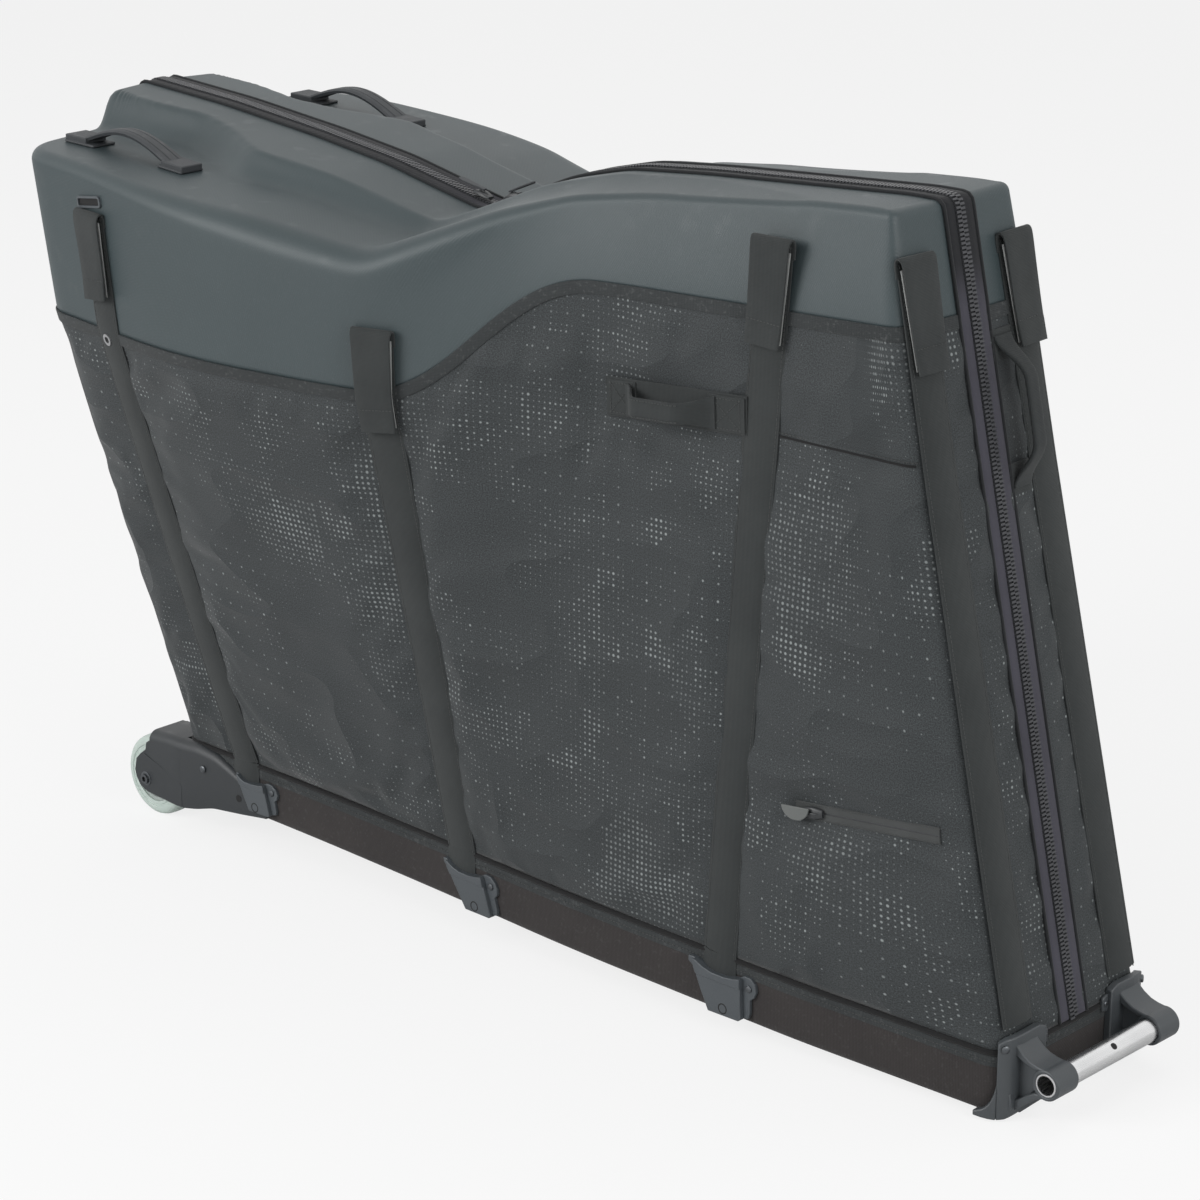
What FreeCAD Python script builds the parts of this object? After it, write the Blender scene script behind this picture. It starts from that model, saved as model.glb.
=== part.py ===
import FreeCAD, Part
import Sketcher
import math
import os

# Bike travel case: a rigid base on two wheels carries two halves that swing open like a clam.
# Lengths are in millimetres.  The case is drawn with its base level: X runs from the wheel end of
# the base to the tube handle end, Y = 0 is the zip plane, the near half lies at negative Y, and
# Z = 0 is the underside of the base.  At the end every piece gets the standing placement, which
# turns the case until wheels and end brackets stand on Z = 0, with the origin under the middle.

Vector = FreeCAD.Vector
doc = FreeCAD.newDocument("bike_travel_case")
sheet = doc.addObject("Spreadsheet::Sheet", "Sizes")

SIZES = [
    # base
    ("base_length", 1147, "base, wheel end to tube handle end, at the corners"),
    ("base_height", 66, "top of the base tub, where the halves hinge"),
    ("base_chamfer", 10, "rounding of the lower edge of the tub"),
    ("tub_wall", 4, "wall and floor of the tub"),
    ("board_thick", 6, "stiff board in the tub"),
    ("board_play", 1, "gap between board and tub wall"),
    ("base_corner_run", 28, "rounding run of the base corners"),
    # plan half-widths at the base, at the shell's lower edge and at the crown
    ("base_half_wheel", 110, "half-width of the base at the wheel end"),
    ("base_half_lobe", 108, "half-width of the base below the lobes"),
    ("base_half_waist", 113, "half-width of the base at the waist"),
    ("base_half_hump", 121, "half-width of the base below the hump"),
    ("base_half_tail", 119, "half-width of the base near the tail"),
    ("base_half_end", 107, "half-width of the base at the tube end"),
    ("edge_half_wheel", 212, "half-width at the shell edge, wheel end"),
    ("edge_half_lobe", 246, "half-width at the shell edge, lobes"),
    ("edge_half_waist", 203, "half-width at the shell edge, waist"),
    ("edge_half_hump", 118, "half-width at the shell edge, hump"),
    ("edge_half_tail", 104, "half-width at the shell edge, tail"),
    ("edge_half_end", 99, "half-width at the shell edge, tube end"),
    ("crown_half_wheel", 222, "half-width at the crown, wheel end"),
    ("crown_half_lobe", 250, "half-width at the crown, lobes"),
    ("crown_half_waist", 198, "half-width at the crown, waist"),
    ("crown_half_hump", 113, "half-width at the crown, hump"),
    ("crown_half_tail", 100, "half-width at the crown, tail"),
    ("crown_half_end", 96, "half-width at the crown, tube end"),
    ("lobe_x", 187, "widest place of the lobes"),
    ("waist_x", 422, "waist"),
    ("hump_x", 617, "start of the hump"),
    ("tail_back", 235, "tail from the tube end of the base"),
    ("edge_overhang", 80, "wheel end overhang at the shell edge"),
    ("crown_overhang", 102, "wheel end overhang at the crown"),
    ("edge_inset", 117, "tube end inset at the shell edge"),
    ("crown_inset", 157, "tube end inset at the crown"),
    ("crown_bow", 40, "bow of the wheel end face from the shell edge up"),
    ("tail_bow", 5, "bow of the tube end face from the shell edge up"),
    ("lobe_corner_run", 46, "rounding run of the lobe corners"),
    ("side_run", 45, "rounding run along the sides"),
    ("tail_corner_run", 22, "rounding run of the tail corners"),
    ("edge_level", 565, "height of the shell edge section"),
    ("crown_level", 745, "height of the crown section"),
    ("crest_room", 60, "walls run on above the highest point before the top is cut"),
    # crest line of the top, as drops below the highest point
    ("crest_z", 813, "highest point of the hump above the base underside"),
    ("lobe_mid_drop", 37, "ridge drop at the wheel end"),
    ("lobe_side_drop", 75, "lobe drop at the wheel end"),
    ("ridge_x", 2, "second crest station"),
    ("ridge_mid_drop", 47, "ridge drop at the second station"),
    ("ridge_side_drop", 77, "lobe drop at the second station"),
    ("handle_x", 145, "third crest station, past the top handles"),
    ("handle_mid_drop", 60, "ridge drop at the third station"),
    ("handle_side_drop", 85.5, "lobe drop at the third station"),
    ("slope_x", 253, "start of the straight slope into the valley"),
    ("slope_mid_drop", 73, "ridge drop at the slope start"),
    ("slope_side_drop", 93, "lobe drop at the slope start"),
    ("valley_x", 399, "bottom of the valley"),
    ("valley_mid_drop", 101, "drop of the valley"),
    ("valley_side_drop", 113, "drop of the valley's shoulder"),
    ("flank_x", 526, "top of the hump's straight flank"),
    ("flank_mid_drop", 47, "drop at the top of the flank"),
    ("flank_side_drop", 61, "shoulder drop at the top of the flank"),
    ("brow_x", 602, "brow of the hump"),
    ("brow_mid_drop", 28, "drop of the brow"),
    ("brow_side_drop", 39, "shoulder drop of the brow"),
    ("back_x", 702, "back of the hump"),
    ("back_mid_drop", 18, "drop of the back"),
    ("back_side_drop", 25, "shoulder drop of the back"),
    ("crest_side_drop", 5, "shoulder drop at the highest point"),
    ("ridge_half", 80, "half-width of the central ridge"),
    ("ridge_foot", 38, "run of the slope beside the ridge"),
    ("ridge_margin", 5, "least level run between that slope and the shoulder"),
    ("shoulder_round", 32, "rounding of the shoulders"),
    ("lobe_end_round", 30, "rounding of the wheel end's top edge"),
    ("tail_end_round", 36, "rounding of the tube end's top edge"),
    # skins
    ("wall_thick", 3.5, "hard shell and padded panel"),
    ("cloth_gap", 0.05, "gap between the walls and what is sewn on them"),
    ("tape_thick", 1.5, "edge tape and zip tape"),
    ("sleeve_thick", 4.5, "rod sleeve"),
    ("batten_thick", 1.5, "flat stiffening rod"),
    ("pocket_thick", 3.5, "top pocket over a sleeve"),
    ("hinge_gap", 0.4, "gap between base and halves along the fabric hinge"),
    ("zip_gap", 0.4, "gap between the two halves"),
    ("edge_low", 564, "shell edge at the lobes"),
    ("edge_high", 699, "shell edge at the hump"),
    ("edge_tail", 718, "shell edge at the tube end"),
    ("wave_start_x", 400, "start of the shell edge's rise"),
    ("wave_end_x", 650, "end of the shell edge's rise"),
    ("wave_soft", 115, "softness of the rise"),
    ("edge_tape_wide", 13, "edge tape width"),
    ("zip_slot_half", 12, "half-width of the slot between the shells"),
    ("zip_tape_half", 21, "half-width of the zip tape"),
    ("chain_half", 3.5, "half-width of the zip chain"),
    ("chain_high", 2.5, "height of the chain on its tape"),
    # rod sleeves
    ("sleeve_wide", 42, "rod sleeve width"),
    ("batten_wide", 28, "flat rod width"),
    ("batten_margin", 6, "sleeve closed past the rod's ends"),
    ("pocket_side", 2, "pocket wider than its sleeve on each side"),
    ("pocket_long", 102, "height of a top pocket"),
    ("pocket_cap", 6, "closed top of a pocket above the sleeve"),
    ("sleeve_a_foot_x", 128, "first sleeve at the base"),
    ("sleeve_a_top_x", 19, "first sleeve at its top"),
    ("sleeve_a_top", 690, "top of the first sleeve"),
    ("sleeve_b_foot_x", 453, "second sleeve at the base"),
    ("sleeve_b_top_x", 424, "second sleeve at its top"),
    ("sleeve_b_top", 622, "top of the second sleeve"),
    ("sleeve_c_foot_x", 817, "third sleeve at the base"),
    ("sleeve_c_top_x", 837, "third sleeve at its top"),
    ("sleeve_c_top", 762, "top of the third sleeve"),
    ("end_sleeve_foot_y", 79, "end sleeve at the bracket"),
    ("end_sleeve_top_y", 70, "end sleeve at its top"),
    ("end_sleeve_top", 764, "top of the end sleeve"),
    ("sleeve_clear", 2, "foot of the end sleeve above the bracket"),
    # rod sockets on the tub
    ("socket_wide", 80, "socket plate width"),
    ("socket_taper", 8, "taper of the socket plate on each side"),
    ("socket_low", 6, "lower edge of the socket plate"),
    ("socket_high", 58, "upper edge of the socket plate"),
    ("socket_thick", 6, "socket plate thickness"),
    ("rivet_radius", 4.5, "rivet head radius"),
    ("rivet_proud", 1.6, "rivet head height"),
    ("rivet_edge", 12, "rivet from the plate's side edge"),
    ("rivet_drop", 11, "rivet below the plate's upper edge"),
    ("rivet_top", 2.7, "rivet head radius at its top"),
    ("rivet_sink", 0.3, "rivet head let into the plate"),
    # wheels
    ("wheel_radius", 47, "wheel radius"),
    ("wheel_clear", 4, "gap between tyre and web"),
    ("wheel_z", 2, "wheel axle above the base underside"),
    ("wheel_wide", 30, "tyre width"),
    ("tyre_seat", 30, "radius of the wheel core under the tyre"),
    ("tyre_crown", 9, "rounding of the tyre"),
    ("tyre_lip", 2, "tyre wider than its core on each side"),
    ("bearing_radius", 11, "bearing outside radius"),
    ("bearing_wide", 7, "bearing width"),
    ("hub_radius", 6.6, "radius of the sleeve between the bearings"),
    ("axle_radius", 4, "axle bolt radius"),
    ("axle_fit", 0.05, "radial running clearance on the axle"),
    ("axle_head_radius", 8, "axle bolt head radius"),
    ("axle_head_high", 3, "axle bolt head height"),
    ("hub_step", 4.5, "hub sleeve beyond the tyre on each side"),
    ("cheek_gap", 0.5, "side clearance between hub and cheek"),
    ("cheek_thick", 6, "wheel housing cheek"),
    ("cheek_nose", 18, "radius of the cheek round the axle"),
    ("cheek_tail_x", 138, "far end of the outer cheek along the base"),
    ("cheek_tail_low", 6, "lower corner of the cheek's far end"),
    ("cheek_tail_high", 24, "upper corner of the cheek's far end"),
    ("cheek_top_x", 36, "end of the cheek's level top"),
    ("cheek_top_drop", 5, "top of the cheek below the top of the tub"),
    ("cheek_drop", 17, "lowest edge of the cheek below the base underside"),
    ("web_thick", 6, "web between tyre and tub"),
    ("pad_clear", 2, "housing pad from the first socket"),
    # tube handle end
    ("bracket_thick", 8, "end bracket plate"),
    ("bracket_inner_y", 52, "inner edge of the end bracket"),
    ("bracket_top", 84, "top of the end bracket"),
    ("bracket_side_x", 26, "length of the bracket's side plate"),
    ("bracket_side_thick", 5, "thickness of the bracket's side plate"),
    ("bracket_side_drop", 2, "top of the bracket's side plate below the top of the tub"),
    ("bracket_side_gap", 1, "side plate from the tub"),
    ("foot_long", 34, "length of the foot"),
    ("ear_inner_y", 63, "inner face of the bracket ear"),
    ("ear_thick", 31, "bracket ear thickness"),
    ("ear_radius", 17, "round end of the ear"),
    ("tube_reach", 41, "tube axis beyond the end of the base"),
    ("tube_z", 44, "tube axis above the base underside"),
    ("tube_radius", 11.5, "tube radius"),
    ("tube_wall", 2, "tube wall"),
    ("tube_fit", 0.05, "radial clearance of the tube in the ears"),
    # top handles
    ("grip_y", 158, "top handle from the zip plane"),
    ("grip_left_x", -96, "left end of the top handle"),
    ("grip_right_x", 124, "right end of the top handle"),
    ("grip_wide", 30, "top handle width"),
    ("grip_thick", 5, "top handle thickness"),
    ("grip_rise", 28, "rise of the top handle's arch"),
    ("cap_long", 42, "length of a handle end cap"),
    ("cap_high", 11, "height of a handle end cap"),
    ("cap_side", 3, "cap wider than the handle on each side"),
    ("cap_nose", 6, "height of the cap's outer end"),
    ("cap_roof", 2, "cap above the handle's end"),
    # grab handles
    ("patch_long", 170, "side grab handle patch length"),
    ("patch_gap", 1, "patch from the third sleeve"),
    ("patch_low", 574, "side grab handle patch, lower left corner"),
    ("patch_high", 38, "side grab handle patch height"),
    ("patch_rise", 11, "rise of the patch towards its right end"),
    ("loop_long", 112, "length of a grab loop between its sewn ends"),
    ("loop_sew", 14, "length of a sewn end"),
    ("loop_wide", 24, "grab loop width"),
    ("loop_thick", 4, "grab loop thickness"),
    ("loop_rise", 26, "rise of a grab loop"),
    ("sew_gap", 0.3, "sewn ends above what carries them"),
    ("end_loop_z", 618, "middle of the end grab loop"),
    # pocket zip in the near panel
    ("slit_back", 79, "pocket zip, right end from the tube end of the base"),
    ("slit_long", 163, "pocket zip length"),
    ("slit_z", 240, "pocket zip, left end height"),
    ("slit_rise", 17, "rise of the pocket zip towards its right end"),
    ("slit_wide", 16, "pocket zip tape width"),
    # zip sliders and pulls
    ("slider_long", 22, "zip slider length"),
    ("slider_half", 6, "zip slider half-width"),
    ("slider_high", 6, "zip slider height"),
    ("slider_nose", 3.6, "height of the slider's ends"),
    ("slider_slope", 6.6, "run of the slopes on the slider's back"),
    ("slider_keel", 1.6, "rise of the slider's underside towards its sides"),
    ("slider_gap", 0.3, "gap between slider and chain"),
    ("slider_step", 24, "slider from the valley bottom along the chain"),
    ("pull_long", 38, "pull length"),
    ("pull_thick", 2, "pull thickness"),
    ("pull_half", 4.5, "pull half-width"),
    # bike stand inside
    ("rail_left_x", 40, "stand rail, wheel end"),
    ("rail_end", 57, "stand rail from the tube end of the base"),
    ("rail_half", 20, "stand rail half-width"),
    ("rail_high", 20, "stand rail height"),
    ("rail_wall", 2.5, "stand rail wall"),
    ("shoe_long", 60, "length of a mount shoe"),
    ("shoe_wall", 6, "wall of a mount shoe"),
    ("shoe_gap", 0.3, "gap between shoe and rail"),
    ("fork_x", 110, "fork mount along the base"),
    ("fork_half", 50, "half of the fork width it takes"),
    ("rear_back", 107, "rear mount from the tube end of the base"),
    ("rear_half", 71, "half of the dropout width it takes"),
    ("mount_axle_high", 90, "mount axle above the rail"),
    ("mount_axle_radius", 6, "mount axle radius"),
    ("mount_post_long", 24, "length of a mount post"),
    ("mount_post_half", 14, "half-width of a mount post"),
    ("mount_head", 13, "radius of the mount head round the axle"),
    ("axle_knob_radius", 12, "mount axle knob radius"),
    ("axle_knob_long", 10, "mount axle knob length"),
    ("knob_radius", 13, "clamp knob radius"),
    ("knob_long", 14, "clamp knob length"),
    ("knob_screw", 4, "clamp screw radius"),
    ("knob_clear", 1, "clamp knob above the board"),
    ("rest_x", 640, "bottom bracket rest along the base"),
    ("rest_long", 90, "bottom bracket rest length"),
    ("rest_half", 32, "bottom bracket rest half-width"),
    ("rest_high", 70, "bottom bracket rest height above the rail"),
    ("rest_dip", 16, "saddle in the bottom bracket rest"),
    # stand
    ("stand_tilt", 2.03, "slope of the base when the case stands, degrees"),
]
for row, (alias, value, note) in enumerate(SIZES, start=1):
    sheet.set("A%d" % row, note)
    sheet.set("B%d" % row, str(value))
    sheet.setAlias("B%d" % row, alias)
doc.recompute()


# Sizes that follow from others
DERIVED = {
    "wheel_x": "0 - wheel_radius - wheel_clear - web_thick",
    "hub_half": "wheel_wide / 2 + hub_step",
    "side_y": "max ( base_half_wheel ; base_half_lobe )",
    "outer_cheek": "side_y + socket_thick",
    "wheel_mid_y": "outer_cheek - cheek_gap - hub_half",
    "inner_cheek": "wheel_mid_y - hub_half - cheek_gap - cheek_thick",
    "cheek_top_z": "base_height - cheek_top_drop",
    "pad_end_x": "sleeve_a_foot_x - socket_wide / 2 - pad_clear",
    "tail_x": "base_length - tail_back",
    "slit_right_x": "base_length - slit_back",
    "slit_left_x": "base_length - slit_back - slit_long",
    "rail_right_x": "base_length - rail_end",
    "rear_x": "base_length - rear_back",
    "end_sleeve_foot": "bracket_top + sleeve_clear",
    "end_loop_y": "( zip_tape_half + end_sleeve_top_y - sleeve_wide / 2 - pocket_side ) / 2",
    "bracket_side_slope": "( base_half_tail - base_half_end ) * bracket_side_x / tail_back",
    "bracket_side_y": "base_half_end + max ( 0 ; bracket_side_slope ) + bracket_side_gap",
    "bracket_side_top": "base_height - bracket_side_drop",
    "ear_outer_y": "ear_inner_y + ear_thick",
    "rail_low": "tub_wall + board_thick",
    "rail_top": "tub_wall + board_thick + rail_high",
}


def term(text):
    """An expression of the sheet: its names become cells, and derived names are written out."""
    parts = []
    for word in text.replace("(", " ( ").replace(")", " ) ").split():
        if word in DERIVED:
            parts.append("( %s )" % term(DERIVED[word]))
        else:
            known = any(word == alias for alias, value, note in SIZES)
            parts.append("Sizes." + word if known else word)
    text = " ".join(parts)
    for function in ("cos", "tan", "max"):
        text = text.replace(function + " (", function + "(")
    return text


def terms(pairs):
    return [(term(a), term(b)) for a, b in pairs]


def worth(owner, expression):
    result = owner.evalExpression(expression)
    return float(getattr(result, "Value", result))


def size(alias):
    if alias in DERIVED:
        return worth(sheet, term(alias))
    return float(sheet.get(alias))


nodes = []


def feature(label, shape):
    """A piece whose shape is worked out from the sheet in code."""
    piece = doc.addObject("Part::Feature", label)
    piece.Label = label
    piece.Shape = shape
    nodes.append(piece)
    return piece


def mirrored(label, source):
    """The far half's copy of a near piece."""
    piece = doc.addObject("Part::Mirroring", label)
    piece.Label = label
    piece.Source = source
    piece.Base = Vector(0, 0, 0)
    piece.Normal = Vector(0, 1, 0)
    nodes.append(piece)
    return piece


def new_body(label):
    body = doc.addObject("PartDesign::Body", label)
    body.Label = label
    nodes.append(body)
    return body


def new_sketch(body, role, offset="0"):
    """A sketch on one of the body's own planes, moved along the plane's normal."""
    sketch = body.newObject("Sketcher::SketchObject", body.Name + "_sketch")
    plane = next(item for item in body.Origin.OriginFeatures if item.Role == role)
    sketch.AttachmentSupport = (plane, [""])
    sketch.MapMode = "FlatFace"
    sketch.setExpression("AttachmentOffset.Base.z", offset)
    return sketch


def pin_point(sketch, geometry, point, place):
    """Bind one point of a sketch to a pair of expressions."""
    for kind, expression in zip(("DistanceX", "DistanceY"), place):
        value = worth(sketch, expression)
        index = sketch.addConstraint(Sketcher.Constraint(kind, geometry, point, value))
        sketch.setExpression("Constraints[%d]" % index, expression)


def draw_polygon(sketch, places):
    """A closed outline of straight lines through places, each a pair of expressions."""
    spots = [Vector(worth(sketch, a), worth(sketch, b), 0) for a, b in places]
    first = sketch.GeometryCount
    count = len(spots)
    for index, spot in enumerate(spots):
        sketch.addGeometry(Part.LineSegment(spot, spots[(index + 1) % count]), False)
    for index in range(count):
        following = first + (index + 1) % count
        sketch.addConstraint(Sketcher.Constraint("Coincident", first + index, 2, following, 1))
    for index, place in enumerate(places):
        pin_point(sketch, first + index, 1, place)


def draw_circle(sketch, place, radius):
    spot = Vector(worth(sketch, place[0]), worth(sketch, place[1]), 0)
    circle = Part.Circle(spot, Vector(0, 0, 1), worth(sketch, radius))
    index = sketch.addGeometry(circle, False)
    pin_point(sketch, index, 3, place)
    bound = sketch.addConstraint(Sketcher.Constraint("Radius", index, circle.Radius))
    sketch.setExpression("Constraints[%d]" % bound, radius)


def draw_axis(sketch, start, end):
    """A construction line that a revolution turns about."""
    spots = [Vector(worth(sketch, a), worth(sketch, b), 0) for a, b in (start, end)]
    index = sketch.addGeometry(Part.LineSegment(*spots), True)
    pin_point(sketch, index, 1, start)
    pin_point(sketch, index, 2, end)


def extrude(body, sketch, length, kind="Pad", backwards=False):
    step = body.newObject("PartDesign::" + kind, "%s_%s" % (body.Name, kind.lower()))
    step.Profile = sketch
    step.setExpression("Length", length)
    step.Reversed = backwards
    doc.recompute()
    return step


def pad(body, role, places, offset, length, backwards=False):
    sketch = new_sketch(body, role, offset)
    draw_polygon(sketch, places)
    return extrude(body, sketch, length, "Pad", backwards)


def pad_round(body, role, place, radius, offset, length, backwards=False):
    sketch = new_sketch(body, role, offset)
    draw_circle(sketch, place, radius)
    return extrude(body, sketch, length, "Pad", backwards)


def bore(body, role, place, radius, offset, length, backwards=False):
    """A round hole; it has to take material away."""
    before = body.Shape.Volume
    sketch = new_sketch(body, role, offset)
    draw_circle(sketch, place, radius)
    step = extrude(body, sketch, length, "Pocket", backwards)
    if body.Shape.Volume >= before:
        raise RuntimeError("hole cuts nothing in " + body.Label)
    return step


def turn(body, role, axis, places, offset="0"):
    """A solid of revolution about a construction line."""
    sketch = new_sketch(body, role, offset)
    draw_axis(sketch, *axis)
    draw_polygon(sketch, places)
    step = body.newObject("PartDesign::Revolution", body.Name + "_turn")
    step.Profile = sketch
    step.ReferenceAxis = (sketch, ["Axis0"])
    step.Angle = 360
    doc.recompute()
    return step


# Plan outlines

LEVELS = ("base", "edge", "crown")
STATIONS = ("wheel", "lobe", "waist", "hump", "tail", "end")


def plan_points(level):
    """Corner points of half the outline at one level, as X and half-width."""
    length = size("base_length")
    left = {"base": 0, "edge": -size("edge_overhang"), "crown": -size("crown_overhang")}[level]
    right = length - {"base": 0, "edge": size("edge_inset"), "crown": size("crown_inset")}[level]
    bow_left = 0 if level == "base" else size("crown_bow")
    bow_right = 0 if level == "base" else size("tail_bow")
    places = [left, size("lobe_x"), size("waist_x"), size("hump_x"), size("tail_x"), right]
    halves = [size("%s_half_%s" % (level, station)) for station in STATIONS]
    return [(left - bow_left, 0)] + list(zip(places, halves)) + [(right + bow_right, 0)]


def corner_runs(level):
    first = size("base_corner_run") if level == "base" else size("lobe_corner_run")
    return [first] + [size("side_run")] * 4 + [size("tail_corner_run")]


def moved_out(points, distance):
    """The outline moved outwards: each run is shifted and met with its neighbours."""
    shifted = []
    for (ax, aw), (bx, bw) in zip(points, points[1:]):
        long = math.hypot(bx - ax, bw - aw)
        nx, nw = -(bw - aw) / long * distance, (bx - ax) / long * distance
        shifted.append(((ax + nx, aw + nw), (bx - ax, bw - aw)))

    def crossing(one, two):
        (px, pw), (ux, uw) = one
        (qx, qw), (vx, vw) = two
        along = ((qx - px) * vw - (qw - pw) * vx) / (ux * vw - uw * vx)
        return (px + ux * along, pw + uw * along)

    level_line = ((0, 0), (1, 0))
    middle = []
    for one, two in zip(shifted, shifted[1:]):
        straight = abs(one[1][0] * two[1][1] - one[1][1] * two[1][0]) < 1e-6
        middle.append(two[0] if straight else crossing(one, two))
    return [crossing(shifted[0], level_line)] + middle + [crossing(shifted[-1], level_line)]


def outline(points, runs, height):
    """Half outline at a height as a closed wire: straight runs joined by soft corners."""
    spots = [Vector(x, -w, height) for x, w in points]
    edges = []
    start = spots[0]
    for before, corner, after, run in zip(spots, spots[1:], spots[2:], runs):
        entry = corner + (before - corner).normalize() * run
        leave = corner + (after - corner).normalize() * run
        edges.append(Part.LineSegment(start, entry).toShape())
        curve = Part.BezierCurve()
        curve.setPoles([entry, corner, leave])
        edges.append(curve.toShape())
        start = leave
    edges.append(Part.LineSegment(start, spots[-1]).toShape())
    edges.append(Part.LineSegment(spots[-1], spots[0]).toShape())
    return Part.Wire(edges)


def blend(one, two, share):
    return [(a + (c - a) * share, b + (d - b) * share) for (a, b), (c, d) in zip(one, two)]


def plan_loft(distance):
    """Half of the case's side and end walls, run on past the top."""
    levels = [moved_out(plan_points(level), distance) for level in LEVELS]
    foot = size("base_height") + size("hinge_gap")
    top = size("crest_z") + size("crest_room")
    share = (top - size("edge_level")) / (size("crown_level") - size("edge_level"))
    wires = [
        outline(levels[0], corner_runs("base"), foot),
        outline(levels[1], corner_runs("edge"), size("edge_level")),
        outline(blend(levels[1], levels[2], share), corner_runs("crown"), top),
    ]
    return Part.makeLoft(wires, True, True)


def half_at(level, x):
    """Half-width of the outline at a place along X, corners left sharp."""
    points = plan_points(level)[1:-1]
    if x <= points[0][0]:
        return points[0][1]
    for (ax, aw), (bx, bw) in zip(points, points[1:]):
        if x <= bx:
            return aw + (bw - aw) * (x - ax) / (bx - ax)
    return points[-1][1]


def wall_half(x, z):
    """Half-width of the outer wall at a place along X and a height up to the crown."""
    low, high, one, two = size("base_height"), size("edge_level"), "base", "edge"
    if z > high:
        low, high, one, two = high, size("crown_level"), "edge", "crown"
    share = (z - low) / (high - low)
    return half_at(one, x) * (1 - share) + half_at(two, x) * share


def tail_face(y, z):
    """X of the tube end face at a distance from the zip plane and a height."""
    low, high, one, two = size("base_height"), size("edge_level"), "base", "edge"
    if z > high:
        low, high, one, two = high, size("crown_level"), "edge", "crown"
    share = (z - low) / (high - low)
    (cx, cw), (ex, ew) = blend(plan_points(one)[-2:], plan_points(two)[-2:], share)
    return ex + (cx - ex) * y / cw


# Top surface

def crest_stations():
    """X, ridge height and shoulder height along the top."""
    top = size("crest_z")
    names = ("ridge", "handle", "slope", "valley", "flank", "brow", "back")
    start = plan_points("crown")[0][0]
    finish = tail_face(0, size("crown_level"))
    lobe, tail = size("lobe_end_round"), size("tail_end_round")
    mid, side = top - size("lobe_mid_drop"), top - size("lobe_side_drop")
    soft = 1 - math.sqrt(0.5)
    stations = [(start - lobe, mid - 3 * lobe, side - 3 * lobe)]
    stations.append((start, mid - lobe, side - lobe))
    stations.append((start + soft * lobe, mid - soft * lobe, side - soft * lobe))
    stations.append((start + lobe, mid, side))
    for name in names:
        drops = size(name + "_mid_drop"), size(name + "_side_drop")
        stations.append((size(name + "_x"), top - drops[0], top - drops[1]))
    low = top - size("crest_side_drop")
    reach = finish - (top - size("crown_level")) * size("crown_inset") / size("crown_level")
    stations.append((reach - tail, top, low))
    stations.append((reach - soft * tail, top - soft * tail, low - soft * tail))
    stations.append((reach, top - tail, low - tail))
    beyond, half_way = size("base_length") + tail, size("crown_level") / 3
    stations.append((beyond, half_way, half_way))
    return stations


def side_height(x):
    stations = crest_stations()
    for (ax, am, az), (bx, bm, bz) in zip(stations, stations[1:]):
        if x <= bx:
            return az + (bz - az) * (x - ax) / (bx - ax)
    return stations[-1][2]


def top_loft(distance):
    """Everything below the top surface, as a ruled loft through cross-sections."""
    soft = 1 - math.sqrt(0.5)
    around = size("shoulder_round")
    wires = []
    for x, mid, side in crest_stations():
        half = half_at("crown", x)
        foot = min(size("ridge_half") + size("ridge_foot"), half - around - size("ridge_margin"))
        ridge = min(size("ridge_half"), foot - size("ridge_foot") / 2)
        profile = [
            (0, mid), (ridge, mid), (foot, side), (half - around, side),
            (half - soft * around, side - soft * around), (half, side - around),
            (half + 2 * around, side - 8 * around), (half + 2 * around, 0), (0, 0),
        ]
        lift = [0, 0, 0, 0, distance, distance, distance, distance, 0]
        raise_by = [distance] * 6 + [0, 0, 0]
        spots = [Vector(x, -(y + out), z + up)
                 for (y, z), out, up in zip(profile, lift, raise_by)]
        wires.append(Part.makePolygon(spots + spots[:1]))
    return Part.makeLoft(wires, True, True)


skins = {}


def skin(distance):
    """Half of the case's body, moved outwards by a distance."""
    if distance not in skins:
        skins[distance] = plan_loft(distance).common(top_loft(distance))
    return skins[distance]


def layer(outer, inner):
    return skin(outer).cut(skin(inner))


FAR_OUT = 2 * size("base_length")


def side_prism(pairs):
    """A prism across the near half, from an outline in X and Z."""
    spots = [Vector(x, 0, z) for x, z in pairs]
    face = Part.Face(Part.makePolygon(spots + spots[:1]))
    return face.extrude(Vector(0, -FAR_OUT, 0))


def end_prism(pairs):
    """A prism through the tube end, from an outline in Y and Z."""
    spots = [Vector(size("tail_x"), -y, z) for y, z in pairs]
    face = Part.Face(Part.makePolygon(spots + spots[:1]))
    return face.extrude(Vector(FAR_OUT, 0, 0))


def slab(near_y, far_y):
    """All of the near half between two distances from the zip plane."""
    spots = [Vector(-FAR_OUT, -near_y, -FAR_OUT), Vector(FAR_OUT, -near_y, -FAR_OUT),
             Vector(FAR_OUT, -far_y, -FAR_OUT), Vector(-FAR_OUT, -far_y, -FAR_OUT)]
    face = Part.Face(Part.makePolygon(spots + spots[:1]))
    return face.extrude(Vector(0, 0, 2 * FAR_OUT))


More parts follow.
